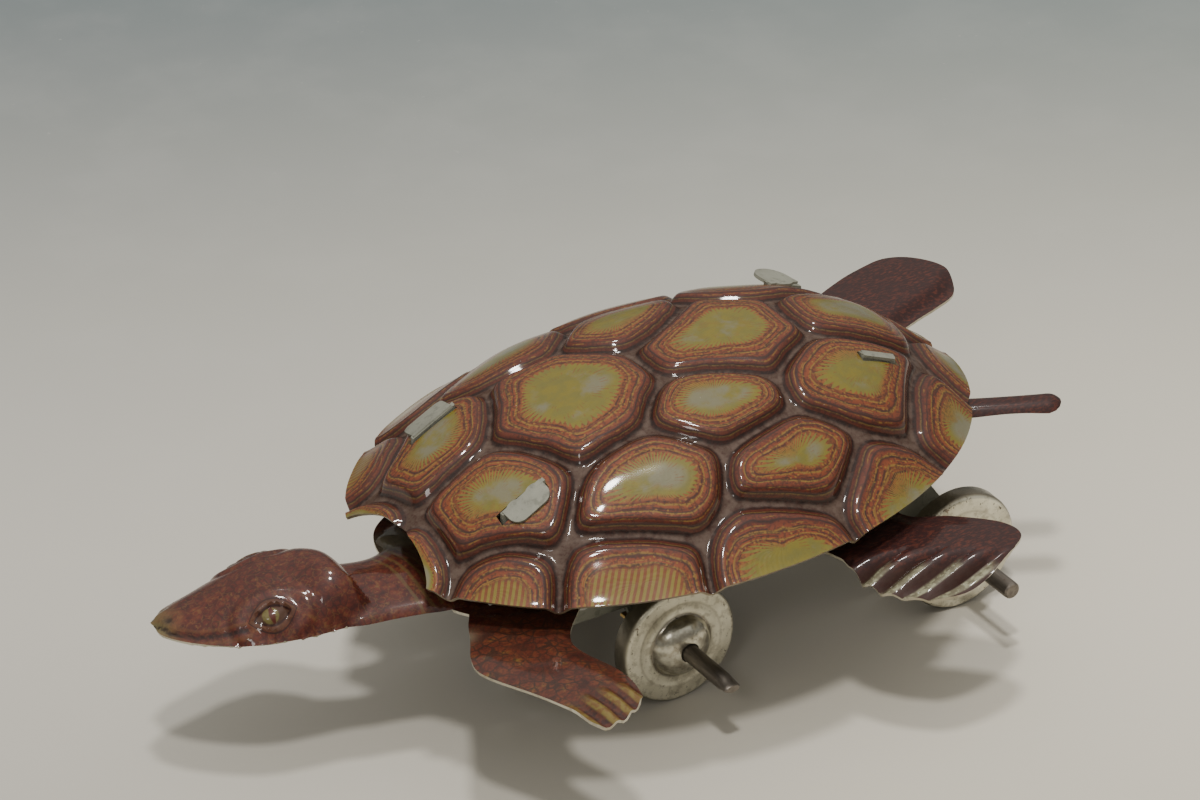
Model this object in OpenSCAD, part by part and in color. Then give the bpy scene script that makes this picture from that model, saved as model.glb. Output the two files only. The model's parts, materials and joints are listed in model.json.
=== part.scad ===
// Clockwork tin tortoise on four tin wheels.
// Millimetres, +Z up. The head points along -X and the tail along +X, so the
// tortoise's left side faces -Y. The origin is on the floor, under the middle
// of the toy's length and width.

/* [Carapace] */
// Length of the carapace
shell_length = 77; // [70:1:86]
// Width of the carapace
shell_width = 57; // [52:1:62]
// Height of the dome above its rim, half way along
dome_height = 13.2; // [11:0.1:14.5]
// Height of the rim above the floor, half way along
rim_height = 23.3; // [22.5:0.1:26]
// How far the body leans forward, in degrees
body_pitch = 2.6; // [0:0.1:4]
// Thickness of the carapace and body tin
tin_thickness = 0.4; // [0.3:0.05:0.6]
// Width of the arch over the neck
arch_width = 17.5; // [14:0.5:20]
// Height of the arch over the neck
arch_height = 2.9; // [2.2:0.1:3.6]

/* [Body stamping] */
// Drop from the rim to the body plate
plate_drop = 4.3; // [4:0.1:5]
// Half width of the belly plate
belly_half_width = 17; // [15:0.5:19]
// Length of the head
head_length = 25; // [22:0.5:28]
// Width of the head
head_width = 15.6; // [13:0.2:17]
// Height of the embossed head
head_height = 5.2; // [4:0.1:6]
// Diameter of the tail
tail_diameter = 3.7; // [2.4:0.1:4.4]

/* [Clockwork frame] */
// Distance between the outer faces of the two side plates
frame_width = 20; // [19:0.2:21]
// Thickness of a side plate
side_thickness = 0.6; // [0.5:0.05:0.8]
// Width of the widest fastening tab along the toy
tab_width = 5.6; // [5:0.2:7]
// Diameter of a frame pillar
pillar_diameter = 2.6; // [2.2:0.1:3]

/* [Wheels and axles] */
// Diameter of a wheel
wheel_diameter = 14.9; // [13:0.1:15.6]
// Depth of the wheel's pressed rim
wheel_depth = 2.4; // [2:0.1:3]
// Thickness of the wheel's tin
wheel_tin = 0.45; // [0.3:0.05:0.6]
// Diameter of the domed middle of a wheel
boss_diameter = 7.8; // [6.5:0.1:8.5]
// Height of the domed middle of a wheel
boss_height = 2.1; // [1.5:0.1:2.6]
// Diameter of both axles
axle_diameter = 2.1; // [1.8:0.1:2.4]
// Length of an axle from the middle of the toy to its end
axle_half_length = 25.6; // [22:0.1:26]
// Front wheel face to the middle of the toy
front_track_half = 14.8; // [14.4:0.1:16]
// Rear wheel face to the middle of the toy
rear_track_half = 15.7; // [14.4:0.1:16.5]

/* [Gear train] */
// Gear module
gear_module = 0.5; // [0.5:0.01:0.52]
// Teeth on the great wheel
great_teeth = 42; // [40:1:44]
// Teeth on the intermediate wheel
intermediate_teeth = 36; // [34:1:38]
// Teeth on each pinion
pinion_teeth = 12; // [12:1:13]
// Teeth on the ratchet wheel
ratchet_teeth = 12; // [10:1:14]

/* [Hidden] */

$fn = 64;

// The carapace is an ellipse in plan, low at the neck and fuller over the
// tail. With u the way along from the middle, -1 to 1, and r the radius:
// height = dome_height * (1 + rise * u + fill * u ^ 2) * (1 - r ^ fullness) ^ shoulder
dome_rise = 0.11;
dome_fill = 0.37;
dome_fullness = 2.66;
dome_shoulder = 1.19;
dome_segments = 72;
dome_rings = 12;
half_length = shell_length / 2;
half_width = shell_width / 2;

// The snout and the right hind toes are the ends of the toy. The middle of
// that length is the origin.
head_centre = [-50.6, 5.2];
head_turn = -16;
snout_reach = 62.44;
hind_toe_reach = 53.73;
body_x = (snout_reach - hind_toe_reach) / 2;

// Frame.
side_out = frame_width / 2;
side_in = side_out - side_thickness;
front_tab_x = -24.2;
rear_tab_x = 23.3;
opening_front = -29.6;
opening_rear = 28.8;
opening_half = side_out + 0.5;
rivet_radius = 0.8;
rivet_head_radius = 1.3;
rivet_head_height = 0.4;

// Shaft places in the side view, [x, z], and running fits.
wheel_radius = wheel_diameter / 2;
axle_radius = axle_diameter / 2;
seat_radius = axle_radius + 0.3;
fit = 0.05;
front_axle_at = [-6.8, wheel_radius];
rear_axle_at = [31.6, wheel_radius];
intermediate_z = 17.5;
winding_z = 16.5;
pinion_r = gear_module * pinion_teeth / 2;
great_r = gear_module * great_teeth / 2;
intermediate_r = gear_module * intermediate_teeth / 2;
intermediate_at = step_right(front_axle_at, intermediate_r + pinion_r, intermediate_z);
winding_at = step_right(intermediate_at, great_r + pinion_r, winding_z);
front_pillar_at = [-24, 24];
lower_pillar_at = [-17, 14.5];
spring_pillar_at = [winding_at[0] + 12.5, 18.5];
arbor_radius = 1.5;
intermediate_arbor_radius = 0.9;

// Layers across the frame, as [low y, high y].
intermediate_wheel_y = [-8.4, -7.6];
drive_pinion_y = [-8.9, -7.1];
mainspring_y = [-6, 1.6];
great_wheel_y = [3, 3.8];
intermediate_pinion_y = [2.4, 4.4];
ratchet_y = [4.2, 5.2];
spring_turns = 8;
spring_inner_r = 1.95;
spring_pitch = 0.76;
spring_tin = 0.3;

// Gear teeth.
pressure_angle = 25;
addendum = 0.8;
dedendum = 1.05;
backlash = 0.12;

// Ratchet and click, about the winding arbor.
ratchet_tip_r = 4.4;
ratchet_root_r = 3.5;
click_rivet_r = 0.7;
click_y = [4.25, 5.15];
click_pivot_at = winding_at + polar(7.4, 65);

// Key.
key_start_y = 24;
key_barrel_end_y = 32.5;
key_end_y = 38;
key_barrel_radius = 2.3;
key_wing = 7.2;

// A second shaft's place, at a stated distance and height, towards the tail.
function step_right(from, distance, z) =
    [from[0] + sqrt(distance * distance - (z - from[1]) * (z - from[1])), z];

// Direction from one shaft to another in the side view.
function bearing(from, to) = atan2(to[1] - from[1], to[0] - from[0]);

// Dome height above the rim plane at a place on the carapace.
function dome_at(x, y) =
    let (r = norm([x / half_length, y / half_width]))
    r >= 1 ? 0 : dome_height * swell(x / half_length, dome_rise, dome_fill)
                 * pow(1 - pow(r, dome_fullness), dome_shoulder);

// How much higher a cap is at u than at its middle.
function swell(u, rise, fill) = 1 + rise * u + fill * u * u;

// Slopes of the dome along x and y, in degrees.
function slope_x(x, y) = atan(dome_at(x + 0.5, y) - dome_at(x - 0.5, y));
function slope_y(x, y) = atan(dome_at(x, y + 0.5) - dome_at(x, y - 0.5));

// Closed smooth curve through a few points.
function curve(p, steps = 6) =
    let (n = len(p))
    [for (i = [0 : n - 1], s = [0 : steps - 1])
        let (t = s / steps, a = p[(i + n - 1) % n], b = p[i], c = p[(i + 1) % n], d = p[(i + 2) % n])
        0.5 * (2 * b + (c - a) * t + (2 * a - 5 * b + 4 * c - d) * t * t
            + (3 * b - a - 3 * c + d) * t * t * t)];

// One ring of an oval cap. taper narrows the -x end, rise lowers it.
function cap_ring(a, b, h, r, m, n, taper, rise, fill) =
    [for (i = [0 : dome_segments - 1])
        let (t = 360 * i / dome_segments)
        [a * r * cos(t), b * r * sin(t) * (1 + taper * cos(t)),
         h * swell(r * cos(t), rise, fill) * pow(max(0, 1 - pow(r, m)), n)]];

// Radii of a cap's rings, closer together towards the steep rim.
function ring_r(i) = sin(90 * i / dome_rings);

// Thin oval cap, open below, of even thickness.
module cap(a, b, h, m, n, thickness, taper = 0, rise = 0, fill = 0) {
    seg = dome_segments;
    outer = [for (i = [1 : dome_rings])
        each cap_ring(a, b, h, ring_r(i), m, n, taper, rise, fill)];
    inner = [for (i = [1 : dome_rings])
        each cap_ring(a - thickness, b - thickness, h - thickness, ring_r(i), m, n, taper, rise, fill)];
    count = dome_rings * seg;
    points = concat(outer, inner, [[0, 0, h], [0, 0, h - thickness]]);
    top = 2 * count;
    faces = concat(
        [for (i = [0 : dome_rings - 2], j = [0 : seg - 1])
            let (k = (j + 1) % seg)
            [i * seg + j, i * seg + k, (i + 1) * seg + k, (i + 1) * seg + j]],
        [for (i = [0 : dome_rings - 2], j = [0 : seg - 1])
            let (k = (j + 1) % seg)
            [count + i * seg + j, count + (i + 1) * seg + j, count + (i + 1) * seg + k, count + i * seg + k]],
        [for (j = [0 : seg - 1])
            let (k = (j + 1) % seg)
            [count - seg + j, count - seg + k, top - seg + k, top - seg + j]],
        [for (j = [0 : seg - 1]) [top, (j + 1) % seg, j]],
        [for (j = [0 : seg - 1]) [top + 1, count + j, count + (j + 1) % seg]]);
    polyhedron(points, faces, convexity = 4);
}

// Everything is drawn about the carapace's middle and moved here.
module on_floor() {
    translate([body_x, 0, 0]) children();
}

// Frame of the leaning body: its z = 0 is the carapace's rim plane.
module leaning() {
    on_floor() translate([0, 0, rim_height]) rotate([0, -body_pitch, 0]) children();
}

// A flat outline in the side view, extruded across the toy.
module across(y) {
    translate([0, y[1], 0]) rotate([90, 0, 0]) linear_extrude(y[1] - y[0]) children();
}

// A cylinder across the toy, about a place in the side view.
module shaft(at, r, y) {
    translate([at[0], y[1], at[1]]) rotate([90, 0, 0]) cylinder(r = r, h = y[1] - y[0]);
}

module shell() {
    color("olivedrab") leaning() difference() {
        cap(half_length, half_width, dome_height, dome_fullness, dome_shoulder, tin_thickness,
            rise = dome_rise, fill = dome_fill);
        neck_arch();
        for (x = [front_tab_x, rear_tab_x], side = [-1, 1]) tab_slot(x, side);
    }
}

// The arch is a circle's arc, cut through the front of the rim only.
module neck_arch() {
    arc_r = (arch_width * arch_width / 4 + arch_height * arch_height) / (2 * arch_height);
    translate([-half_length - 5, 0, arch_height - arc_r]) rotate([0, 90, 0]) cylinder(r = arc_r, h = 14);
}

module tab_slot(x, side) {
    slot_gap = 0.35;
    slot_height = 8;
    translate([x, side * (side_out - side_thickness / 2), dome_at(x, side_out)])
        cube([tab_width + 2 * slot_gap, side_thickness + 2 * slot_gap, slot_height], center = true);
}

// Outlines of the body stamping, seen from above.
belly_points = [[-34, -7], [-28, -14], [-12, -belly_half_width], [10, -belly_half_width], [25, -15],
                [34, -8], [36.4, 0], [34, 9], [25, 15], [10, belly_half_width],
                [-12, belly_half_width], [-28, 13], [-34, 5]];
neck_points = [[-27, -9], [-33, -8.8], [-36.6, -7.6], [-39.8, -6.4], [-43, -4.8], [-45.5, -2.5],
               [-46.5, 4], [-45, 9], [-41.2, 7.2], [-38.6, 5.8], [-36, 5.2], [-33.6, 6.2], [-33, 8.5],
               [-27, 9]];
left_fore_points = [[-20, -11], [-30, -9], [-33.5, -12], [-36.8, -18], [-37.2, -22], [-34.6, -28],
                    [-33, -33], [-32.4, -37], [-29.5, -38], [-26.2, -36.4], [-24.8, -34], [-24.6, -29],
                    [-26, -23.5], [-24.6, -19.5], [-18, -15]];
right_fore_points = [[-28, 9], [-28, 15], [-25, 21], [-21, 26], [-17, 29.5], [-13, 30.5], [-10.5, 28.5],
                     [-12, 25], [-16, 21.5], [-18, 17], [-14, 12]];
left_hind_points = [[4, -14], [6, -20], [7.4, -25], [9.4, -29.4], [12, -33], [15.5, -35.6], [20, -36],
                    [24, -35], [26.6, -32.6], [26, -29.4], [22, -25], [18, -21.5], [18, -13]];
right_hind_points = [[22, 11], [29, 17.5], [35.5, 22.5], [41, 24.9], [45, 25.9], [48.4, 26.2], [51.2, 24.7],
                     [53.3, 21.6], [53.4, 18.6], [51.6, 15.9], [48.2, 14.6], [44, 13.4], [38.5, 11.2],
                     [33, 7]];

module body_plate() {
    color("saddlebrown") leaning() translate([0, 0, -plate_drop]) {
        difference() {
            linear_extrude(tin_thickness) difference() {
                union() {
                    polygon(curve(belly_points));
                    polygon(curve(neck_points));
                    polygon(curve(left_fore_points));
                    polygon(curve(right_fore_points));
                    polygon(curve(left_hind_points));
                    polygon(curve(right_hind_points));
                }
                translate([opening_front, -opening_half])
                    square([opening_rear - opening_front, 2 * opening_half]);
            }
            head_hollow();
        }
        head();
        tail();
    }
}

// The head is an embossed oval cap that narrows towards the beak.
module head() {
    place_head()
        cap(head_length / 2, head_width / 2, head_height, 2.6, 0.62, tin_thickness, taper = 0.3);
}

// The neck's strip stops at the inside of the head.
module head_hollow() {
    neck_overlap = 1.4;
    place_head() translate([0, 0, -0.1])
        scale([1, head_width / head_length, 1]) cylinder(d = head_length - 2 * neck_overlap, h = 1);
}

module place_head() {
    translate([head_centre[0], head_centre[1], 0]) rotate([0, 0, head_turn]) children();
}

// The tail is a bar with a flattened underside, bent to the left and a little down.
module tail() {
    tail_root = [32, -6];
    tail_turn = -30;
    tail_length = 14.2;
    translate([tail_root[0], tail_root[1], 0]) rotate([0, 0, tail_turn]) difference() {
        union() {
            rotate([0, 90, 0]) cylinder(d = tail_diameter, h = tail_length);
            translate([tail_length, 0, 0]) sphere(d = tail_diameter);
        }
        translate([-2, -tail_diameter, -2 * tail_diameter])
            cube([tail_length + 6, 2 * tail_diameter, 2 * tail_diameter]);
    }
}

// Both side plates share this outline: a long plate with a lobe round each
// axle, two tabs on top and holes for the shafts and rivets.
module side_outline() {
    lobe_r = 3;
    bottom_z = 11.4;
    difference() {
        union() {
            polygon([[-28.6, 13], [-28.6, 26], [-22, 28.6], [20, 30.4], [28, 27.4], [28, 18],
                     [34.6, wheel_radius + 1], [29.4, wheel_radius - 2], [24, bottom_z],
                     [-2, bottom_z], [-4.2, wheel_radius - 1.4], [-9.4, wheel_radius - 1.4],
                     [-11, bottom_z], [-26, bottom_z]]);
            translate(front_axle_at) circle(r = lobe_r);
            translate(rear_axle_at) circle(r = lobe_r);
        }
        translate(front_axle_at) circle(r = axle_radius + fit);
        translate(rear_axle_at) circle(r = axle_radius + fit);
        translate(intermediate_at) circle(r = intermediate_arbor_radius + fit);
        translate(winding_at) circle(r = arbor_radius + fit);
        for (at = [front_pillar_at, lower_pillar_at, spring_pillar_at])
            translate(at) circle(r = rivet_radius);
    }
}

// A side plate: the outline, two lugs under the body plate, and two bent tabs.
// A tab is [reach over the carapace, lift off it in degrees, corner radius].
module side_plate(side, front_tab, rear_tab) {
    y = side > 0 ? [side_in, side_out] : [-side_out, -side_in];
    color("gainsboro") {
        on_floor() across(y) side_outline();
        for (x = [-19, 16]) lug(x, side);
        tab(front_tab_x, side, front_tab);
        tab(rear_tab_x, side, rear_tab);
    }
}

// A lug bent out of the side plate, which carries the body plate.
module lug(x, side) {
    lug_length = 6;
    lug_reach = 4;
    lug_thickness = 0.6;
    leaning() translate([x - lug_length / 2, side > 0 ? side_in : -side_in - lug_reach,
                         -plate_drop - lug_thickness])
        cube([lug_length, lug_reach, lug_thickness]);
}

// A tab rises through its slot, cut off along the carapace's slope. Its flap
// is bent outwards over the carapace, and has two rounded corners.
// shape is the flap's [reach outwards, lift in degrees, corner radius, width].
module tab(x, side, shape) {
    reach = shape[0];
    lift = shape[1];
    corner = shape[2];
    half = shape[3] / 2;
    stem_foot = 4;
    flap_tin = 0.4;
    flap_z = dome_at(x, side_in) + 0.2;
    stem_top = flap_z + 0.2;
    climb = half * tan(slope_x(x, side_out));
    leaning() across(side > 0 ? [side_in, side_out] : [-side_out, -side_in])
        polygon([[x - half, stem_foot], [x + half, stem_foot],
                 [x + half, stem_top + climb], [x - half, stem_top - climb]]);
    leaning() translate([x, side * side_in, flap_z]) rotate([side * lift, 0, 0])
        rotate([slope_y(x, side * (side_out + 0.5 * reach)), -slope_x(x, side_out), 0])
            linear_extrude(flap_tin) mirror([0, side > 0 ? 0 : 1, 0]) {
                translate([-half, 0]) square([2 * half, reach - corner]);
                translate([-half + corner, 0]) square([2 * (half - corner), reach]);
                for (k = [-1, 1]) translate([k * (half - corner), reach - corner]) circle(r = corner);
            }
}

module left_side_plate() {
    side_plate(-1, [2.6, 3, 1.4, tab_width], [0.9, 8, 0.3, 4.6]);
}

module right_side_plate() {
    side_plate(1, [4.4, 2, 1.1, tab_width], [4, 30, 2.2, 4.8]);
}

// A pillar between the side plates, riveted through both.
module pillar(at) {
    color("silver") on_floor() {
        shaft(at, pillar_diameter / 2, [-side_in, side_in]);
        shaft(at, rivet_radius, [-side_out - rivet_head_height, side_out + rivet_head_height]);
        shaft(at, rivet_head_radius, [side_out, side_out + rivet_head_height]);
        shaft(at, rivet_head_radius, [-side_out - rivet_head_height, -side_out]);
    }
}

module front_pillar() {
    pillar(front_pillar_at);
}

module lower_pillar() {
    pillar(lower_pillar_at);
}

module spring_pillar() {
    pillar(spring_pillar_at);
}

// The mainspring is a flat spiral whose outer end reaches its pillar.
function spiral(offset) =
    [for (i = [0 : spring_turns * 24])
        let (t = i * 15, r = spring_inner_r + offset + spring_pitch * i / 24) [r * cos(t), r * sin(t)]];

module mainspring() {
    reach = spring_pillar_at - winding_at;
    hook = reach - [pillar_diameter / 2 + 0.1, 0.4];
    inside = spiral(0);
    outside = spiral(spring_tin);
    outline = concat(inside, [hook + [0, spring_tin]], [hook],
                     [for (i = [len(outside) - 1 : -1 : 0]) outside[i]]);
    color("steelblue") on_floor() across(mainspring_y) translate(winding_at) polygon(outline);
}

module winding_arbor() {
    color("silver") on_floor() shaft(winding_at, arbor_radius, [-side_out - 0.8, key_barrel_end_y - 3]);
}

// Involute angle of a radius on a gear.
function involute(base_r, r) =
    let (q = sqrt(max(0, r * r / (base_r * base_r) - 1))) q * 180 / PI - atan(q);

// Spur gear outline with one tooth's middle at the given angle.
function gear_points(teeth, angle) =
    let (pitch_r = gear_module * teeth / 2, base_r = pitch_r * cos(pressure_angle),
         tip_r = pitch_r + addendum * gear_module, root_r = pitch_r - dedendum * gear_module,
         flank = [max(base_r, root_r), pitch_r, (pitch_r + tip_r) / 2, tip_r],
         half = 90 / teeth - backlash / 4 / pitch_r * 180 / PI + involute(base_r, pitch_r))
    [for (i = [0 : teeth - 1])
        let (mid = angle + 360 * i / teeth)
        each concat([polar(root_r, mid - half)],
                    [for (r = flank) polar(r, mid - half + involute(base_r, r))],
                    [for (k = [3 : -1 : 0]) polar(flank[k], mid + half - involute(base_r, flank[k]))],
                    [polar(root_r, mid + half)])];

function polar(r, angle) = [r * cos(angle), r * sin(angle)];

module gear(at, y, teeth, angle, bore_r) {
    across(y) translate(at) difference() {
        polygon(gear_points(teeth, angle));
        circle(r = bore_r);
    }
}

// The great wheel turns on the winding arbor, and has three round windows.
module great_wheel() {
    collar_r = 2.8;
    collar_length = 1;
    window_r = 1.9;
    color("goldenrod") on_floor() difference() {
        union() {
            gear(winding_at, great_wheel_y, great_teeth, bearing(winding_at, intermediate_at),
                 arbor_radius + fit);
            difference() {
                shaft(winding_at, collar_r, [great_wheel_y[0] - collar_length, great_wheel_y[0]]);
                shaft(winding_at, arbor_radius + fit,
                      [great_wheel_y[0] - 2 * collar_length, great_wheel_y[0]]);
            }
        }
        for (angle = [135, 215, 295])
            shaft(winding_at + polar(7, angle), window_r, [great_wheel_y[0] - 1, great_wheel_y[1] + 1]);
        shaft(click_pivot_at, click_rivet_r, [great_wheel_y[0] - 1, great_wheel_y[1] + 1]);
    }
}

// The ratchet wheel is fixed on the winding arbor. Its teeth have one steep side.
module ratchet_wheel() {
    step = 360 / ratchet_teeth;
    outline = [for (i = [0 : ratchet_teeth - 1])
        each [polar(ratchet_tip_r, i * step), polar(ratchet_root_r, i * step + 3)]];
    color("darkgoldenrod") on_floor() across(ratchet_y) translate(winding_at) difference() {
        polygon(outline);
        circle(r = arbor_radius);
    }
}

// The click hangs from its rivet, and its nose stands in a tooth space.
module click() {
    eye_r = 1.5;
    color("silver") on_floor() across(click_y) difference() {
        union() {
            translate(click_pivot_at) circle(r = eye_r);
            polygon([winding_at + polar(3.9, 9), winding_at + polar(5, 7), click_pivot_at + [eye_r, 0],
                     click_pivot_at, click_pivot_at + polar(eye_r, 230), winding_at + polar(4.8, 30)]);
        }
        translate(click_pivot_at) circle(r = click_rivet_r + fit);
    }
}

module click_rivet() {
    head_r = 1.2;
    color("silver") on_floor() {
        shaft(click_pivot_at, click_rivet_r, [great_wheel_y[0] - 0.3, click_y[1] + 0.4]);
        shaft(click_pivot_at, head_r, [click_y[1] + 0.1, click_y[1] + 0.4]);
        shaft(click_pivot_at, head_r, [great_wheel_y[0] - 0.3, great_wheel_y[0]]);
    }
}

// A strip on a post of the great wheel stands behind the click.
module click_spring() {
    post_at = winding_at + [8, 2];
    tip_at = winding_at + [5.15, 5.5];
    strip = [0.25, 0.2];
    color("steelblue") on_floor() {
        shaft(post_at, 0.6, [great_wheel_y[1], click_y[1]]);
        across(click_y) polygon([post_at, post_at + strip, tip_at + strip, tip_at]);
    }
}

module intermediate_arbor() {
    color("silver") on_floor()
        shaft(intermediate_at, intermediate_arbor_radius, [-side_out - 0.3, side_out + 0.3]);
}

module intermediate_wheel() {
    color("goldenrod") on_floor()
        gear(intermediate_at, intermediate_wheel_y, intermediate_teeth,
             bearing(intermediate_at, front_axle_at), intermediate_arbor_radius);
}

module intermediate_pinion() {
    color("darkgoldenrod") on_floor()
        gear(intermediate_at, intermediate_pinion_y, pinion_teeth,
             bearing(intermediate_at, winding_at) + 180 / pinion_teeth, intermediate_arbor_radius);
}

module drive_pinion() {
    color("darkgoldenrod") on_floor()
        gear(front_axle_at, drive_pinion_y, pinion_teeth,
             bearing(front_axle_at, intermediate_at) + 180 / pinion_teeth, axle_radius);
}

// A raised seat on an axle, which a wheel and its bush are pressed on.
module seat(at, side, face_y) {
    ends = [side * (face_y - wheel_depth), side * (face_y + boss_height)];
    shaft(at, seat_radius, [min(ends), max(ends)]);
}

// The front axle's left end is pinched flat.
module front_axle() {
    pinch_length = 1.6;
    pinch_width = 1.7;
    pinch_height = 1.1;
    left_end = -axle_half_length;
    color("dimgray") on_floor() {
        for (side = [-1, 1]) seat(front_axle_at, side, front_track_half);
        shaft(front_axle_at, axle_radius, [left_end + pinch_length, axle_half_length]);
        translate([front_axle_at[0], left_end + pinch_length / 2, front_axle_at[1]])
            cube([pinch_width, pinch_length, pinch_height], center = true);
    }
}

module rear_axle() {
    color("dimgray") on_floor() {
        for (side = [-1, 1]) seat(rear_axle_at, side, rear_track_half);
        shaft(rear_axle_at, axle_radius, [-axle_half_length, axle_half_length]);
    }
}

// Half section of a wheel as [radius, distance outwards]: a cup with a domed boss.
function boss_z(r, h, reach) = h * pow(max(0, 1 - pow(max(0, r - seat_radius) / reach, 2.2)), 0.75);

function wheel_section() =
    let (boss_r = boss_diameter / 2, steps = 8)
    concat([[wheel_radius, -wheel_depth], [wheel_radius, -0.25], [wheel_radius - 0.25, 0], [boss_r, 0]],
           [for (i = [1 : steps]) let (r = boss_r - (boss_r - seat_radius) * i / steps)
               [r, boss_z(r, boss_height, boss_r - seat_radius)]],
           [for (i = [0 : steps]) let (r = seat_radius + (boss_r - seat_radius - wheel_tin) * i / steps)
               [r, boss_z(r, boss_height, boss_r - seat_radius - wheel_tin) - wheel_tin]],
           [[wheel_radius - wheel_tin, -wheel_tin], [wheel_radius - wheel_tin, -wheel_depth]]);

// A wheel on an axle. side is -1 for the left, and y is its face's distance out.
module wheel(at, side, y) {
    color("beige") on_floor() translate([at[0], side * y, at[1]]) rotate([side > 0 ? -90 : 90, 0, 0])
        rotate_extrude() polygon(wheel_section());
}

// The bush is pressed on the axle inside the wheel.
module bush(at, side, y) {
    bush_radius = 1.9;
    low = side * (y - wheel_depth);
    high = side * (y + 0.9);
    color("silver") on_floor() difference() {
        shaft(at, bush_radius, [min(low, high), max(low, high)]);
        shaft(at, seat_radius, [min(low, high) - 1, max(low, high) + 1]);
    }
}

module front_left_wheel() {
    wheel(front_axle_at, -1, front_track_half);
}

module front_right_wheel() {
    wheel(front_axle_at, 1, front_track_half);
}

module rear_left_wheel() {
    wheel(rear_axle_at, -1, rear_track_half);
}

module rear_right_wheel() {
    wheel(rear_axle_at, 1, rear_track_half);
}

module front_left_bush() {
    bush(front_axle_at, -1, front_track_half);
}

module front_right_bush() {
    bush(front_axle_at, 1, front_track_half);
}

module rear_left_bush() {
    bush(rear_axle_at, -1, rear_track_half);
}

module rear_right_bush() {
    bush(rear_axle_at, 1, rear_track_half);
}

// The key's barrel is pressed on the arbor and slotted for the bow.
module key_barrel() {
    color("silver") on_floor() difference() {
        shaft(winding_at, key_barrel_radius, [key_start_y, key_barrel_end_y]);
        shaft(winding_at, arbor_radius, [key_start_y - 1, key_barrel_end_y - 3]);
        translate([winding_at[0] - 4, key_barrel_end_y - 3, winding_at[1] - 0.5]) cube([8, 4, 1]);
    }
}

// The bow is stamped from sheet, with a round wing on each side.
module key_bow() {
    wing_r = 3.4;
    tongue_half = 1.7;
    color("silver") on_floor() translate([winding_at[0], 0, winding_at[1] - 0.5]) linear_extrude(1)
        difference() {
            union() {
                translate([-tongue_half, key_barrel_end_y - 3])
                    square([2 * tongue_half, key_end_y - key_barrel_end_y + 2.4]);
                for (side = [-1, 1])
                    translate([side * (key_wing - wing_r), key_end_y - wing_r]) circle(r = wing_r);
            }
            for (side = [-1, 1])
                translate([side * (key_wing - wing_r), key_end_y - wing_r]) circle(r = 1.5);
        }
}

shell();
body_plate();
left_side_plate();
right_side_plate();
front_pillar();
lower_pillar();
spring_pillar();
mainspring();
winding_arbor();
ratchet_wheel();
great_wheel();
click();
click_rivet();
click_spring();
intermediate_arbor();
intermediate_wheel();
intermediate_pinion();
drive_pinion();
front_axle();
rear_axle();
front_left_wheel();
front_right_wheel();
rear_left_wheel();
rear_right_wheel();
front_left_bush();
front_right_bush();
rear_left_bush();
rear_right_bush();
key_barrel();
key_bow();
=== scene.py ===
import bpy
import json
import math
import numpy as np
from mathutils import Matrix, Vector, geometry


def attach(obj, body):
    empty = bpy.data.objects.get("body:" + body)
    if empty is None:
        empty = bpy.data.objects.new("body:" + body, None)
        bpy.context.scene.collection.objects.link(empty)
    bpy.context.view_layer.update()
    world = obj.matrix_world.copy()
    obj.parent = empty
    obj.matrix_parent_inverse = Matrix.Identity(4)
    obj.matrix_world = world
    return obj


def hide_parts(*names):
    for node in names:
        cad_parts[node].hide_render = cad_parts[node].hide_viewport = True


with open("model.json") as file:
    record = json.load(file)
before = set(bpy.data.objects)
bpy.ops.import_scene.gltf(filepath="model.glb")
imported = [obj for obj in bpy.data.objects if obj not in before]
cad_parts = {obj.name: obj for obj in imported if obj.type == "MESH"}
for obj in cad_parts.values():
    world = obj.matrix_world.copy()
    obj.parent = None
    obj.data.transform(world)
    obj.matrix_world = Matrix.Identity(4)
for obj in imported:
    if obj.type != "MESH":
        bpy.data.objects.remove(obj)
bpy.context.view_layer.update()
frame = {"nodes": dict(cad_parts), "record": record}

# ---------------------------------------------------------------- measures, in mm
MM = 0.001
BODY_X = 4.355            # carapace middle, in the frame's x
RIM_Z = 23.3              # height of the carapace rim's middle
PITCH = math.radians(2.6)  # the whole tin body leans forward by this much
CP, SP = math.cos(PITCH), math.sin(PITCH)
SHELL_A, SHELL_B, SHELL_H = 38.4, 28.4, 13.0          # half length, half width, height
RISE, FILL, FULL, SHOULDER = 0.11, 0.37, 2.66, 1.19   # the dome's profile
TIN = 0.34
PLATE_Z = -4.3            # body stamping below the rim
WHEEL_R = 7.45
FRONT_X, REAR_X = -6.8 + BODY_X, 31.6 + BODY_X        # the axles
EDGE = 0.3                # spacing of points along an outline
TOE_PITCH = 2.1


def to_world(p):
    """Leaning body's coordinates, mm, to the shared frame, metres."""
    p = np.asarray(p, float)
    x = p[:, 0] * CP - p[:, 2] * SP + BODY_X
    z = p[:, 0] * SP + p[:, 2] * CP + RIM_Z
    return np.stack([x, p[:, 1], z], 1) * MM


def curve(points, steps=10):
    """Closed Catmull-Rom curve through a few points."""
    p = np.asarray(points, float)
    out = []
    for i in range(len(p)):
        a, b, c, d = p[i - 1], p[i], p[(i + 1) % len(p)], p[(i + 2) % len(p)]
        for s in range(steps):
            t = s / steps
            out.append(0.5 * (2 * b + (c - a) * t + (2 * a - 5 * b + 4 * c - d) * t * t
                              + (3 * b - a - 3 * c + d) * t ** 3))
    return np.array(out)


def resample(loop, spacing):
    """The same closed loop with evenly spaced points."""
    loop = np.asarray(loop, float)
    nxt = np.roll(loop, -1, 0)
    length = np.linalg.norm(nxt - loop, axis=1)
    total = np.concatenate([[0], np.cumsum(length)])
    n = max(8, int(round(total[-1] / spacing)))
    at = np.linspace(0, total[-1], n, endpoint=False)
    closed = np.vstack([loop, loop[:1]])
    return np.stack([np.interp(at, total, closed[:, k]) for k in (0, 1)], 1)


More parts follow.
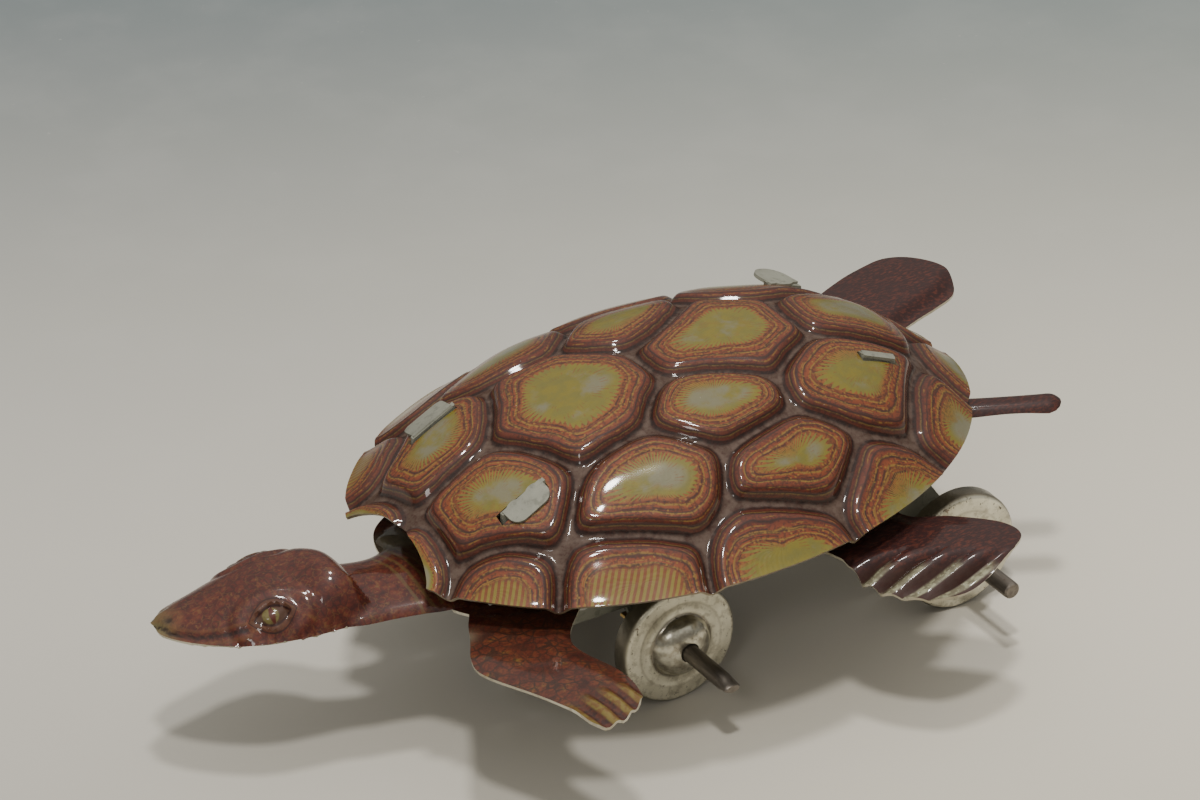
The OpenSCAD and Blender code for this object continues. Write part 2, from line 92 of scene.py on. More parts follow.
def inside(pts, loop):
    """Even-odd test of points against one closed loop."""
    pts, loop = np.asarray(pts, float), np.asarray(loop, float)
    out = np.zeros(len(pts), bool)
    nxt = np.roll(loop, -1, 0)
    for (x1, y1), (x2, y2) in zip(loop, nxt):
        if y1 == y2:
            continue
        cross = (pts[:, 1] > y1) != (pts[:, 1] > y2)
        out ^= cross & (pts[:, 0] < (x2 - x1) * (pts[:, 1] - y1) / (y2 - y1) + x1)
    return out


def distance(pts, line, closed=True):
    """Distance of points to a polyline, and how far along it the nearest point is."""
    pts, line = np.asarray(pts, float), np.asarray(line, float)
    ends = np.roll(line, -1, 0) if closed else line[1:]
    starts = line if closed else line[:-1]
    best = np.full(len(pts), 1e9)
    along = np.zeros(len(pts))
    run = 0.0
    for a, b in zip(starts, ends):
        ab = b - a
        span = float(ab @ ab) or 1e-12
        t = np.clip(((pts - a) @ ab) / span, 0, 1)
        d = np.linalg.norm(pts - (a + t[:, None] * ab), axis=1)
        near = d < best
        best[near] = d[near]
        along[near] = run + t[near] * math.sqrt(span)
        run += math.sqrt(span)
    return best, along


def triangulate(loops, spacing, keep):
    """Triangles over a flat region whose edges are the loops. keep(points) says what is inside."""
    pts, edges = [], []
    for loop in loops:
        base, n = len(pts), len(loop)
        pts += [tuple(p) for p in loop]
        edges += [(base + i, base + (i + 1) % n) for i in range(n)]
    lo, hi = np.min(pts, 0), np.max(pts, 0)
    rows = np.arange(lo[1], hi[1], spacing * 0.866)
    columns = [np.arange(lo[0] + (j % 2) * spacing / 2, hi[0], spacing) for j in range(len(rows))]
    grid = np.concatenate([np.stack([c, np.full(len(c), y)], 1) for c, y in zip(columns, rows)])
    grid = grid[keep(grid)]
    for loop in loops:
        grid = grid[distance(grid, loop)[0] > spacing * 0.55]
    allp = [Vector(p) for p in pts] + [Vector(p) for p in grid.tolist()]
    verts, _, faces = geometry.delaunay_2d_cdt(allp, edges, [], 0, 1e-6)[:3]
    v = np.array([[p.x, p.y] for p in verts])
    f = np.array(faces)
    mid = v[f].mean(1)
    f = f[keep(mid)]
    ab, ac = v[f[:, 1]] - v[f[:, 0]], v[f[:, 2]] - v[f[:, 0]]
    area = ab[:, 0] * ac[:, 1] - ab[:, 1] * ac[:, 0]
    f = f[np.abs(area) > 1e-7]
    area = area[np.abs(area) > 1e-7]
    f[area < 0] = f[area < 0][:, ::-1]
    used = np.unique(f)
    back = np.full(len(v), -1)
    back[used] = np.arange(len(used))
    return v[used], back[f]


def normals(p, f):
    n = np.zeros_like(p)
    fn = np.cross(p[f[:, 1]] - p[f[:, 0]], p[f[:, 2]] - p[f[:, 0]])
    for k in range(3):
        np.add.at(n, f[:, k], fn)
    return n / np.maximum(np.linalg.norm(n, axis=1, keepdims=True), 1e-12)


def solidify(p, f, thickness):
    """Closed sheet: the top surface, an even thickness below it, and the cut edges."""
    n = normals(p, f)
    count = len(p)
    low = p - n * thickness
    e = np.concatenate([f[:, [0, 1]], f[:, [1, 2]], f[:, [2, 0]]])
    key = e[:, 0].astype(np.int64) * count + e[:, 1]
    other = e[:, 1].astype(np.int64) * count + e[:, 0]
    rim = e[~np.isin(key, other)]
    faces = ([tuple(t) for t in f.tolist()] + [tuple(t) for t in (f[:, ::-1] + count).tolist()]
             + [(b, a, a + count, b + count) for a, b in rim.tolist()])
    mats = np.concatenate([np.zeros(len(f)), np.ones(len(f)), np.full(len(rim), 2)]).astype(int)
    return np.vstack([p, low]), faces, mats


def add_mesh(name, verts, faces, materials, body, mats=None, attrs=None, sharp=40, replaced=()):
    """A mesh object, in metres, riding on a body."""
    me = bpy.data.meshes.new(name)
    me.from_pydata(np.asarray(verts, float).tolist(), [], faces)
    for m in materials:
        me.materials.append(m)
    if mats is not None:
        me.polygons.foreach_set("material_index", np.asarray(mats, np.int32))
    me.polygons.foreach_set("use_smooth", np.ones(len(me.polygons), bool))
    for key, value in (attrs or {}).items():
        a = me.attributes.new(key, "FLOAT", "POINT")
        a.data.foreach_set("value", np.asarray(value, np.float32))
    me.update()
    me.set_sharp_from_angle(angle=math.radians(sharp))
    obj = bpy.data.objects.new(name, me)
    bpy.context.scene.collection.objects.link(obj)
    if body:
        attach(obj, body)
    if replaced:
        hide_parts(*replaced)
    return obj


# ---------------------------------------------------------------- material helper
class Mat:
    """Builds one node material. Arguments may be numbers, colours or sockets."""

    def __init__(self, name):
        self.m = bpy.data.materials.new(name)
        self.m.use_nodes = True
        self.t = self.m.node_tree
        self.p = next(n for n in self.t.nodes if n.type == "BSDF_PRINCIPLED")
        self.obj = self.t.nodes.new("ShaderNodeTexCoord").outputs["Object"]

    def put(self, socket, value):
        if isinstance(value, bpy.types.NodeSocket):
            self.t.links.new(value, socket)
        elif isinstance(value, (tuple, list)):
            opaque = len(value) == 3 and len(socket.default_value) == 4
            socket.default_value = tuple(value) + ((1.0,) if opaque else ())
        else:
            socket.default_value = value

    def attr(self, name):
        n = self.t.nodes.new("ShaderNodeAttribute")
        n.attribute_name = name
        return n.outputs["Fac"]

    def math(self, op, a, b=0.0, c=0.0, clamp=False):
        n = self.t.nodes.new("ShaderNodeMath")
        n.operation = op
        n.use_clamp = clamp
        for s, v in zip(n.inputs, (a, b, c)):
            self.put(s, v)
        return n.outputs[0]

    def mix(self, fac, a, b, kind="MIX"):
        n = self.t.nodes.new("ShaderNodeMix")
        n.data_type = "RGBA"
        n.blend_type = kind
        n.clamp_factor = True
        self.put(n.inputs[0], fac)
        self.put(n.inputs[6], a)
        self.put(n.inputs[7], b)
        return n.outputs[2]

    def ramp(self, fac, stops, kind="LINEAR"):
        n = self.t.nodes.new("ShaderNodeValToRGB")
        n.color_ramp.interpolation = kind
        e = n.color_ramp.elements
        while len(e) < len(stops):
            e.new(0.5)
        for k, (pos, col) in zip(e, sorted(stops, key=lambda s: s[0])):
            k.position = pos
            k.color = tuple(col) + (1.0,) if isinstance(col, (tuple, list)) else (col, col, col, 1.0)
        self.put(n.inputs[0], fac)
        return n.outputs[0]

    def step(self, x, low, high, out0=0.0, out1=1.0):
        n = self.t.nodes.new("ShaderNodeMapRange")
        n.interpolation_type = "SMOOTHSTEP"
        for s, v in zip(n.inputs, (x, low, high, out0, out1)):
            self.put(s, v)
        return n.outputs[0]

    def noise(self, scale, detail=3.0, rough=0.55, vector=None, distortion=0.0):
        n = self.t.nodes.new("ShaderNodeTexNoise")
        self.put(n.inputs["Vector"], vector or self.obj)
        n.inputs["Scale"].default_value = scale
        n.inputs["Detail"].default_value = detail
        n.inputs["Roughness"].default_value = rough
        n.inputs["Distortion"].default_value = distortion
        return n.outputs["Fac"]

    def cells(self, scale, feature="DISTANCE_TO_EDGE", vector=None, randomness=1.0):
        n = self.t.nodes.new("ShaderNodeTexVoronoi")
        n.feature = feature
        self.put(n.inputs["Vector"], vector or self.obj)
        n.inputs["Scale"].default_value = scale
        n.inputs["Randomness"].default_value = randomness
        return n.outputs["Distance"]

    def squash(self, sx, sy, sz):
        n = self.t.nodes.new("ShaderNodeMapping")
        self.put(n.inputs["Vector"], self.obj)
        n.inputs["Scale"].default_value = (sx, sy, sz)
        return n.outputs[0]

    def bump(self, height, strength, depth_mm):
        n = self.t.nodes.new("ShaderNodeBump")
        n.inputs["Strength"].default_value = strength
        n.inputs["Distance"].default_value = depth_mm * MM
        self.put(n.inputs["Height"], height)
        self.put(self.p.inputs["Normal"], n.outputs[0])

    def finish(self, color, rough, metallic=0.0, coat=0.0, coat_rough=0.1, specular=0.5):
        for key, value in (("Base Color", color), ("Roughness", rough), ("Metallic", metallic),
                           ("Coat Weight", coat), ("Coat Roughness", coat_rough),
                           ("Specular IOR Level", specular)):
            self.put(self.p.inputs[key], value)
        return self.m


def shell_print():
    """Printed carapace: uneven rings round each scute, and a hatched yellow-green middle."""
    m = Mat("shell_print")
    sd, st, ang, sid, rim, comb, side = (
        m.attr(k) for k in ("sd", "st", "ang", "sid", "rim", "comb", "side"))
    broad, mid, fine = m.noise(150, 2), m.noise(480, 3), m.noise(2600, 2)
    wob = m.math("ADD", m.math("MULTIPLY", m.math("SUBTRACT", mid, 0.5), 0.06),
                 m.math("MULTIPLY", m.math("SUBTRACT", broad, 0.5), 0.22))
    wob = m.math("ADD", wob, m.math("MULTIPLY", m.math("SUBTRACT", sid, 0.5), 0.06))
    t = m.math("ADD", st, m.math("MULTIPLY", wob, m.step(sd, 0.6, 2.2)))
    base = m.ramp(t, [
        (0.000, (0.070, 0.040, 0.030)), (0.012, (0.018, 0.009, 0.008)), (0.045, (0.034, 0.013, 0.010)),
        (0.065, (0.100, 0.023, 0.012)), (0.105, (0.130, 0.030, 0.014)), (0.122, (0.020, 0.009, 0.008)),
        (0.145, (0.140, 0.031, 0.014)), (0.195, (0.185, 0.043, 0.015)), (0.212, (0.235, 0.140, 0.028)),
        (0.232, (0.050, 0.016, 0.010)), (0.255, (0.180, 0.038, 0.013)), (0.310, (0.235, 0.060, 0.016)),
        (0.330, (0.260, 0.160, 0.028)), (0.350, (0.130, 0.028, 0.011)), (0.420, (0.250, 0.080, 0.018)),
        (0.520, (0.240, 0.095, 0.022))])
    # the groove and the lines beside it
    shift = m.math("ADD", m.math("MULTIPLY", m.math("SUBTRACT", mid, 0.5), 0.30),
                   m.math("MULTIPLY", m.math("SUBTRACT", broad, 0.5), 0.50))
    groove = m.ramp(m.math("DIVIDE", m.math("ADD", sd, m.math("MULTIPLY", shift, m.step(sd, 0.0, 0.5))),
                           1.5), [
        (0.00, (0.080, 0.050, 0.038)), (0.08, (0.060, 0.034, 0.026)), (0.15, (0.018, 0.009, 0.008)),
        (0.28, (0.026, 0.011, 0.009)), (0.35, (0.100, 0.024, 0.013)), (0.45, (0.080, 0.020, 0.012)),
        (0.52, (0.140, 0.088, 0.026)), (0.57, (0.020, 0.009, 0.008)), (0.66, (0.095, 0.021, 0.012)),
        (0.80, (0.135, 0.030, 0.014)), (1.00, (0.140, 0.031, 0.014))])
    base = m.mix(m.step(sd, 1.0, 1.4), groove, base)
    # dark and ochre hair lines that run with the outline, broken up
    ring = m.math("SINE", m.math("ADD", m.math("MULTIPLY", sd, 9.5), m.math("MULTIPLY", broad, 12.0)))
    gap = m.step(m.noise(620, 3), 0.42, 0.58)
    zone = m.math("MULTIPLY", m.step(t, 0.03, 0.10), m.step(t, 0.50, 0.38))
    where = m.math("MULTIPLY", zone, gap)
    base = m.mix(m.math("MULTIPLY", m.step(ring, 0.45, 0.95), m.math("MULTIPLY", where, 0.85)), base,
                 (0.040, 0.013, 0.009))
    base = m.mix(m.math("MULTIPLY", m.step(ring, -0.75, -0.98), m.math("MULTIPLY", where, 0.60)), base,
                 (0.270, 0.160, 0.030))
    # rows of small dots in the red band
    dots = m.math("MULTIPLY", m.step(m.cells(1750, "F1", None, 0.55), 0.34, 0.14), m.step(t, 0.12, 0.24))
    base = m.mix(m.math("MULTIPLY", dots, 0.70), base, (0.290, 0.165, 0.028))
    base = m.mix(m.math("MULTIPLY", m.step(fine, 0.47, 0.62), 0.60), base, (0.045, 0.014, 0.010))
    # the middle, with grey worn patches
    grey = m.step(m.math("ADD", m.noise(210, 4, 0.6), m.math("MULTIPLY", sid, 0.30)), 0.52, 0.68)
    inner = m.mix(m.step(m.noise(700, 4), 0.35, 0.65), (0.200, 0.170, 0.022), (0.165, 0.152, 0.030))
    olive_grey_patch = m.math("MULTIPLY", m.math("MULTIPLY", grey, m.step(t, 0.48, 0.70)), 0.85)
    inner = m.mix(olive_grey_patch, inner, (0.190, 0.187, 0.135))
    # comb strokes: long on the lower side, short elsewhere
    wave = m.math("SINE", m.math("ADD", m.math("MULTIPLY", ang, 54.0),
                                 m.math("MULTIPLY", m.noise(300, 2), 9.0)))
    lower = m.step(m.math("ADD", side, m.math("MULTIPLY", broad, 1.2)), 0.2, 1.2)
    reach = m.math("ADD", 0.030, m.math("MULTIPLY", lower, 0.085))
    start = m.math("ADD", 0.430, m.math("MULTIPLY", m.math("ADD", wave, 0.6), reach))
    base = m.mix(m.step(m.math("SUBTRACT", t, start), -0.02, 0.02), base, inner)
    stray = m.math("MULTIPLY", m.step(t, 0.95, 0.60), m.step(m.noise(900, 3), 0.50, 0.60))
    stray = m.math("MULTIPLY", m.step(wave, 0.35, 0.80), stray)
    stray = m.math("MULTIPLY", stray, m.step(m.math("ABSOLUTE", comb), 0.06, 0.05))
    stray = m.math("MULTIPLY", m.math("MULTIPLY", stray, m.step(t, 0.36, 0.44)), 0.60)
    base = m.mix(stray, base, (0.200, 0.070, 0.018))
    # slanting lines over the scutes along the rim
    line = m.math("SINE", m.math("ADD", comb, m.math("MULTIPLY", broad, 5.0)))
    lined = m.mix(m.step(line, -0.25, 0.25), (0.185, 0.050, 0.015), (0.225, 0.175, 0.026))
    base = m.mix(m.math("MULTIPLY", m.step(m.math("ABSOLUTE", comb), 0.05, 0.06),
                        m.math("MULTIPLY", m.step(t, 0.34, 0.42), 0.85)), base, lined)
    base = m.mix(1.0, base, (0.72, 0.68, 0.62), "MULTIPLY")
    # dusty grooves, and chips down to the tin
    dust = m.math("MULTIPLY", m.step(sd, 0.50, 0.05), m.step(m.noise(700, 4), 0.40, 0.66))
    base = m.mix(m.math("MULTIPLY", dust, 0.60), base, (0.105, 0.072, 0.056))
    chip = m.step(m.math("ADD", m.noise(1100, 5, 0.7), m.math("MULTIPLY", rim, 0.08)), 0.72, 0.75)
    base = m.mix(chip, base, (0.42, 0.41, 0.36))
    rough = m.math("ADD", m.math("MULTIPLY", m.step(sd, 1.5, 0.4), 0.16),
                   m.math("ADD", 0.42, m.math("MULTIPLY", mid, 0.16)))
    height = m.math("ADD", m.math("MULTIPLY", m.noise(900, 4), 0.8), m.math("MULTIPLY", ring, 0.05))
    height = m.math("ADD", height, m.math("MULTIPLY", m.step(sd, 1.6, 0.3),
                                          m.math("MULTIPLY", m.noise(1900, 3), 0.9)))
    m.bump(height, 0.55, 0.15)
    return m.finish(base, rough, 0.03, m.step(sd, 0.2, 0.9, 0.40, 0.68), 0.075, 0.15)


def body_print():
    """Printed body: mottled red-brown, scaly fore legs, dark hind legs, striped toes, beak and eyes."""
    m = Mat("body_print")
    hind, toe, stripe, beak, neck, fore = (
        m.attr(k) for k in ("hind", "toe", "stripe", "beak", "neck", "fore"))
    eu, ev, mouth, olive_grey_patch = (m.attr(k) for k in ("eu", "ev", "mouth", "olive_grey_patch"))
    broad, mid, fine = m.noise(260, 3), m.noise(1000, 4, 0.6), m.noise(2800, 3)
    base = m.ramp(mid, [(0.28, (0.045, 0.012, 0.010)), (0.42, (0.110, 0.022, 0.014)),
                        (0.58, (0.180, 0.038, 0.018)), (0.74, (0.230, 0.095, 0.028))])
    base = m.mix(m.step(broad, 0.35, 0.65, 0.0, 0.40), base, (0.100, 0.020, 0.014))
    speck = m.step(m.noise(1700, 3, 0.6), 0.60, 0.68)
    base = m.mix(m.math("MULTIPLY", speck, 0.35), base, (0.300, 0.170, 0.050))
    base = m.mix(m.math("MULTIPLY", m.step(fine, 0.52, 0.70), 0.40), base, (0.045, 0.014, 0.011))
    web = m.step(m.math("ADD", m.cells(1150), m.math("MULTIPLY", m.math("SUBTRACT", fine, 0.5), 0.30)),
                 0.16, 0.03)
    base = m.mix(m.math("MULTIPLY", web, m.step(broad, 0.35, 0.60, 0.20, 0.60)), base, (0.045, 0.018, 0.012))
    curl = m.step(m.math("ABSOLUTE", m.math("SUBTRACT", m.noise(650, 2), 0.5)), 0.022, 0.006)
    base = m.mix(m.math("MULTIPLY", curl, 0.30), base, (0.260, 0.130, 0.036))
    # scaly fore legs, yellower in patches
    scales = m.ramp(m.noise(520, 4), [(0.28, (0.070, 0.018, 0.012)), (0.48, (0.165, 0.040, 0.018)),
                                      (0.62, (0.190, 0.055, 0.020)), (0.76, (0.240, 0.150, 0.030))])
    scales = m.mix(m.math("MULTIPLY", m.step(fine, 0.42, 0.62), 0.55), scales, (0.055, 0.020, 0.012))
    net = m.step(m.math("ADD", m.cells(820), m.math("MULTIPLY", m.math("SUBTRACT", mid, 0.5), 0.26)),
                 0.14, 0.03)
    scales = m.mix(m.math("MULTIPLY", net, m.step(broad, 0.35, 0.60, 0.35, 0.75)), scales,
                   (0.036, 0.022, 0.014))
    base = m.mix(fore, base, scales)
    # hind legs: dark maroon with short red dashes
    dash = m.step(m.noise(2500, 3, 0.6, m.squash(0.55, 1.3, 1.0)), 0.46, 0.66)
    dash = m.math("MULTIPLY", dash, m.step(broad, 0.35, 0.65, 0.30, 0.60))
    hind_col = m.mix(dash, (0.040, 0.014, 0.013), (0.170, 0.040, 0.022))
    base = m.mix(hind, base, hind_col)
    # toes: dark print between; a printed ochre stripe along each fore toe, and a painted cream highlight
    # along each hind toe
    claw_print_and_highlight = m.step(m.math("SINE", stripe), -0.45, 0.35)
    broken = m.step(m.noise(1500, 3), 0.40, 0.58)
    toe_col = m.mix(claw_print_and_highlight, (0.050, 0.018, 0.013), m.mix(hind, (0.300, 0.230, 0.050), (0.420, 0.400, 0.250)))
    toe_col = m.mix(m.math("MULTIPLY", broken, 0.55), toe_col,
                    m.mix(hind, (0.190, 0.050, 0.020), (0.060, 0.030, 0.022)))
    base = m.mix(m.math("MULTIPLY", toe, 0.90), base, toe_col)
    # neck rings
    rings = m.step(m.math("SINE", m.math("ADD", m.math("MULTIPLY", neck, 5.4),
                                         m.math("MULTIPLY", mid, 2.5))), 0.1, 0.8)
    neck_zone = m.math("MULTIPLY", m.step(neck, 2.6, 3.6), m.step(neck, 9.5, 8.0))
    base = m.mix(m.math("MULTIPLY", neck_zone, m.math("MULTIPLY", rings, 0.55)), base, (0.170, 0.120, 0.038))
    # beak
    base = m.mix(m.math("MULTIPLY", beak, m.step(mid, 0.30, 0.55, 0.55, 0.95)), base, (0.220, 0.195, 0.075))
    # mouth and nostril
    base = m.mix(m.math("MULTIPLY", m.step(mouth, 0.26, 0.08), 0.8), base, (0.022, 0.009, 0.008))
    base = m.mix(m.math("MULTIPLY",
                        m.step(m.math("ABSOLUTE", m.math("SUBTRACT", mouth, 0.55)), 0.28, 0.05), 0.30),
                 base, (0.270, 0.120, 0.038))
    # eye: lids, iris and slit
    lid = m.math("SUBTRACT", 1.0, m.math("POWER", m.math("ABSOLUTE", m.math("DIVIDE", eu, 1.95)), 2.0))
    open_ = m.math("SUBTRACT", m.math("MULTIPLY", lid, 0.98), m.math("ABSOLUTE", ev))
    near = m.step(m.math("ABSOLUTE", eu), 4.2, 3.4)
    ue = m.math("ADD", eu, 0.25)
    radius = m.math("SQRT", m.math("ADD", m.math("MULTIPLY", ue, ue), m.math("MULTIPLY", ev, ev)))
    ball = m.mix(m.step(radius, 1.02, 0.84), (0.100, 0.045, 0.022), (0.215, 0.180, 0.050))
    slit = m.math("SUBTRACT", 0.36, m.math("ADD", m.math("ABSOLUTE", m.math("SUBTRACT", ue, 0.18)),
                                           m.math("MULTIPLY", m.math("ABSOLUTE", ev), 0.20)))
    ball = m.mix(m.step(slit, -0.06, 0.08), ball, (0.130, 0.026, 0.013))
    ball = m.mix(m.math("MULTIPLY", m.step(fine, 0.50, 0.66), 0.35), ball, (0.080, 0.030, 0.016))
    fold = m.math("MULTIPLY", m.step(open_, -0.95, -0.75), m.step(open_, -0.20, -0.34))
    base = m.mix(m.math("MULTIPLY", near, m.math("MULTIPLY", fold, 0.60)), base, (0.130, 0.060, 0.026))
    rim = m.math("ADD", m.step(open_, -0.32, -0.18),
                 m.step(m.math("ABSOLUTE", m.math("ADD", open_, 1.0)), 0.13, 0.05))
    base = m.mix(m.math("MULTIPLY", near, m.math("MINIMUM", rim, 0.85)), base, (0.035, 0.013, 0.010))
    base = m.mix(m.math("MULTIPLY", near, m.step(open_, -0.06, 0.08)), base, ball)
    base = m.mix(1.0, base, m.mix(hind, (0.50, 0.48, 0.52), (0.64, 0.66, 0.68)), "MULTIPLY")
    # olive-grey patches at both shoulders, and chips of wear down to the tin
    base = m.mix(m.math("MULTIPLY", olive_grey_patch, 0.70), base, (0.130, 0.120, 0.080))
    chip = m.step(m.noise(1200, 5, 0.7), 0.735, 0.76)
    base = m.mix(chip, base, (0.42, 0.41, 0.36))
    m.bump(m.math("ADD", m.math("MULTIPLY", mid, 0.9), m.math("MULTIPLY", fine, 0.25)), 0.5, 0.13)
    rough = m.math("ADD", 0.42, m.math("MULTIPLY", broad, 0.20))
    return m.finish(base, rough, 0.03, m.mix(hind, (0.58, 0.58, 0.58), (0.42, 0.42, 0.42)), 0.09, 0.15)


def tin(name, light, dark, speck=0.5, rough=0.34, metallic=0.75, scale=1.0):
    """Bare tinplate with tarnish, specks and fine scratches."""
    m = Mat(name)
    broad, mid, fine = m.noise(190 * scale, 4), m.noise(900 * scale, 5, 0.65), m.noise(3200 * scale, 3)
    base = m.mix(m.step(broad, 0.32, 0.68), light, dark)
    base = m.mix(m.math("MULTIPLY", m.step(mid, 0.50, 0.66), 0.45), base, tuple(c * 0.45 for c in dark))
    spots = m.step(m.noise(1500 * scale, 5, 0.75), 0.64, 0.70)
    base = m.mix(m.math("MULTIPLY", spots, speck), base, (0.045, 0.032, 0.022))
    lines = m.noise(1400 * scale, 3, 0.6, m.squash(0.12, 1.0, 1.0))
    m.bump(m.math("ADD", m.math("MULTIPLY", mid, 0.6), m.math("MULTIPLY", lines, 0.5)), 0.45, 0.08)
    r = m.math("ADD", rough, m.math("MULTIPLY", m.math("SUBTRACT", mid, 0.5), 0.35))
    return m.finish(base, r, metallic, 0.15, 0.2)


def wheel_tin():
    """Wheel face: a dull, specked outer ring and a brighter domed middle."""
    m = Mat("wheel_tin")
    rad = m.attr("rad")
    broad, mid = m.noise(260, 4), m.noise(1000, 5, 0.65)
    boss = m.step(rad, 4.3, 3.6)
    ring = m.mix(m.step(broad, 0.35, 0.65), (0.78, 0.75, 0.61), (0.60, 0.57, 0.45))
    ring = m.mix(m.math("MULTIPLY", m.step(mid, 0.48, 0.64), 0.45), ring, (0.24, 0.21, 0.15))
    base = m.mix(boss, ring, m.mix(m.step(mid, 0.35, 0.65), (0.62, 0.60, 0.50), (0.36, 0.33, 0.26)))
    # painted shade: darker rings in the crease at the foot of the dome and at the shallow step on the ring
    crease_shade = m.math("ADD", m.step(m.math("ABSOLUTE", m.math("SUBTRACT", rad, 3.90)), 0.40, 0.05),
                    m.math("MULTIPLY",
                           m.step(m.math("ABSOLUTE", m.math("SUBTRACT", rad, 5.40)), 0.25, 0.03), 0.4))
    base = m.mix(m.math("MULTIPLY", crease_shade, 0.60), base, (0.14, 0.11, 0.08))
    edge = m.step(rad, 5.8, 7.2)
    spots = m.step(m.math("ADD", m.noise(1300, 5, 0.8), m.math("MULTIPLY", edge, 0.05)), 0.62, 0.67)
    base = m.mix(m.math("MULTIPLY", spots, 0.90), base, (0.040, 0.026, 0.017))
    rust = m.step(m.math("ADD", m.noise(520, 5, 0.75), m.math("MULTIPLY", edge, 0.06)), 0.66, 0.70)
    base = m.mix(m.math("MULTIPLY", rust, 0.75), base, (0.100, 0.060, 0.036))
    # painted shade: the rolled edge and the tread are darker
    base = m.mix(m.step(rad, 7.05, 7.4), base, (0.17, 0.15, 0.11))
    m.bump(m.math("ADD", mid, m.math("MULTIPLY", spots, -0.5)), 0.45, 0.08)
    rough = m.math("ADD", m.step(boss, 0.0, 1.0, 0.33, 0.22),
                   m.math("MULTIPLY", m.math("SUBTRACT", mid, 0.5), 0.3))
    return m.finish(base, rough, m.step(boss, 0.0, 1.0, 0.74, 0.95), 0.1, 0.2)


def steel(name, color, rough=0.30, streak=(1.0, 0.10, 1.0)):
    """Turned or drawn metal with streaks along one axis and a little rust."""
    m = Mat(name)
    lines = m.noise(2400, 4, 0.6, m.squash(*streak))
    rust = m.step(m.noise(800, 5, 0.7), 0.60, 0.72)
    base = m.mix(m.step(lines, 0.3, 0.7), color, tuple(c * 0.62 for c in color))
    base = m.mix(m.math("MULTIPLY", rust, 0.6), base, (0.090, 0.045, 0.022))
    m.bump(lines, 0.4, 0.05)
    return m.finish(base, m.math("ADD", rough, m.math("MULTIPLY", lines, 0.2)), 0.95)


SHELL_PRINT = shell_print()
BODY_PRINT = body_print()
INNER_TIN = tin("inner_tin", (0.34, 0.31, 0.22), (0.23, 0.20, 0.14), 0.35, 0.42)
SHELL_EDGE = tin("shell_edge", (0.30, 0.24, 0.15), (0.13, 0.09, 0.06), 0.4, 0.42, 0.45)
CUT_EDGE = tin("cut_edge", (0.62, 0.59, 0.48), (0.40, 0.36, 0.26), 0.4, 0.38, 0.55)
FRAME_TIN = tin("frame_tin", (0.235, 0.235, 0.190), (0.175, 0.175, 0.140), 0.25, 0.70, 0.10)
WHEEL_TIN = wheel_tin()
STEEL = steel("steel", (0.48, 0.47, 0.44))
AXLE_STEEL = steel("axle_steel", (0.25, 0.22, 0.19), 0.34)
SPRING_STEEL = steel("spring_steel", (0.10, 0.13, 0.19), 0.28, (1.0, 1.0, 0.15))
BRASS = steel("gear_brass", (0.55, 0.38, 0.15), 0.28, (0.4, 1.0, 0.4))
KEY_STEEL = steel("key_steel", (0.55, 0.54, 0.50), 0.26, (0.3, 1.0, 1.0))


# ---------------------------------------------------------------- carapace
# Scute middles and half sizes, [x, y, rx, ry], found by a fit; the ones off the midline come in pairs.
SCUTES = [(-12.4, 0, 9.9, 9.2), (8.9, 0, 9.9, 8.1), (24.1, 0, 7.5, 6.2), (-26.7, 7.1, 8.3, 6.9),
          (-10.9, 16.3, 8.1, 5.9), (0.9, 10.0, 7.4, 5.7), (20.2, 11.3, 8.8, 6.4), (5.2, 20.0, 8.3, 4.6),
          (-35.8, 6.0, 3.6, 5.6), (-31.7, 14.7, 5.6, 6.1), (-17.8, 23.6, 7.4, 5.9),
          (-1.0, 26.7, 8.4, 4.9), (16.8, 25.2, 8.1, 5.4), (29.8, 16.3, 6.5, 6.3), (38.3, 6.2, 4.3, 7.1)]
SCUTES = np.array([s for q in SCUTES for s in ([q] if q[1] == 0 else [q, (q[0], -q[1], q[2], q[3])])], float)


def scute_field(x, y):
    """Scute number, rounded distance to its outline in mm, and offset from its middle."""
    dx, dy = x[:, None] - SCUTES[:, 0], y[:, None] - SCUTES[:, 1]
    f = np.sqrt((dx / SCUTES[:, 2]) ** 2 + (dy / SCUTES[:, 3]) ** 2) + 1e-6
    gx, gy = dx / SCUTES[:, 2] ** 2 / f, dy / SCUTES[:, 3] ** 2 / f
    rows, i = np.arange(len(x)), f.argmin(1)
    g = np.hypot(gx - gx[rows, i][:, None], gy - gy[rows, i][:, None]) + 1e-6
    d = (f - f[rows, i][:, None]) / g
    d[rows, i] = 1e9
    soft = -np.log(np.exp(-1.5 * np.minimum(d, 40)).sum(1)) / 1.5
    return i, np.maximum(soft, 0), dx[rows, i], dy[rows, i]


def dome(x, y):
    """Height of the plain carapace above its rim."""
    u, r = x / SHELL_A, np.hypot(x / SHELL_A, y / SHELL_B)
    return SHELL_H * (1 + RISE * u + FILL * u * u) * (1 - np.minimum(r, 1) ** FULL) ** SHOULDER


# The arch over the neck, cut into the rim at the front.
ARCH_W, ARCH_H = 17.5, 2.9
ARCH_R = (ARCH_W ** 2 / 4 + ARCH_H ** 2) / (2 * ARCH_H)

# The tabs' slots, [middle x, side, half length], and their two edges in y.
SLOTS = ((-24.2, -1, 3.05), (-24.2, 1, 3.05), (23.3, -1, 2.5), (23.3, 1, 2.6))
SLOT_Y = (9.05, 10.35)


def arch(y):
    return np.sqrt(np.maximum(ARCH_R ** 2 - y ** 2, 0)) - (ARCH_R - ARCH_H)


def unroll(rho):
    """Radius in the drawing plane, which has more room near the steep rim."""
    return (1.25 - np.sqrt(np.maximum(1.5625 - rho, 0))) / 0.5


def roll(r):
    """Back from the drawing plane."""
    return r * (1.25 - 0.25 * r)


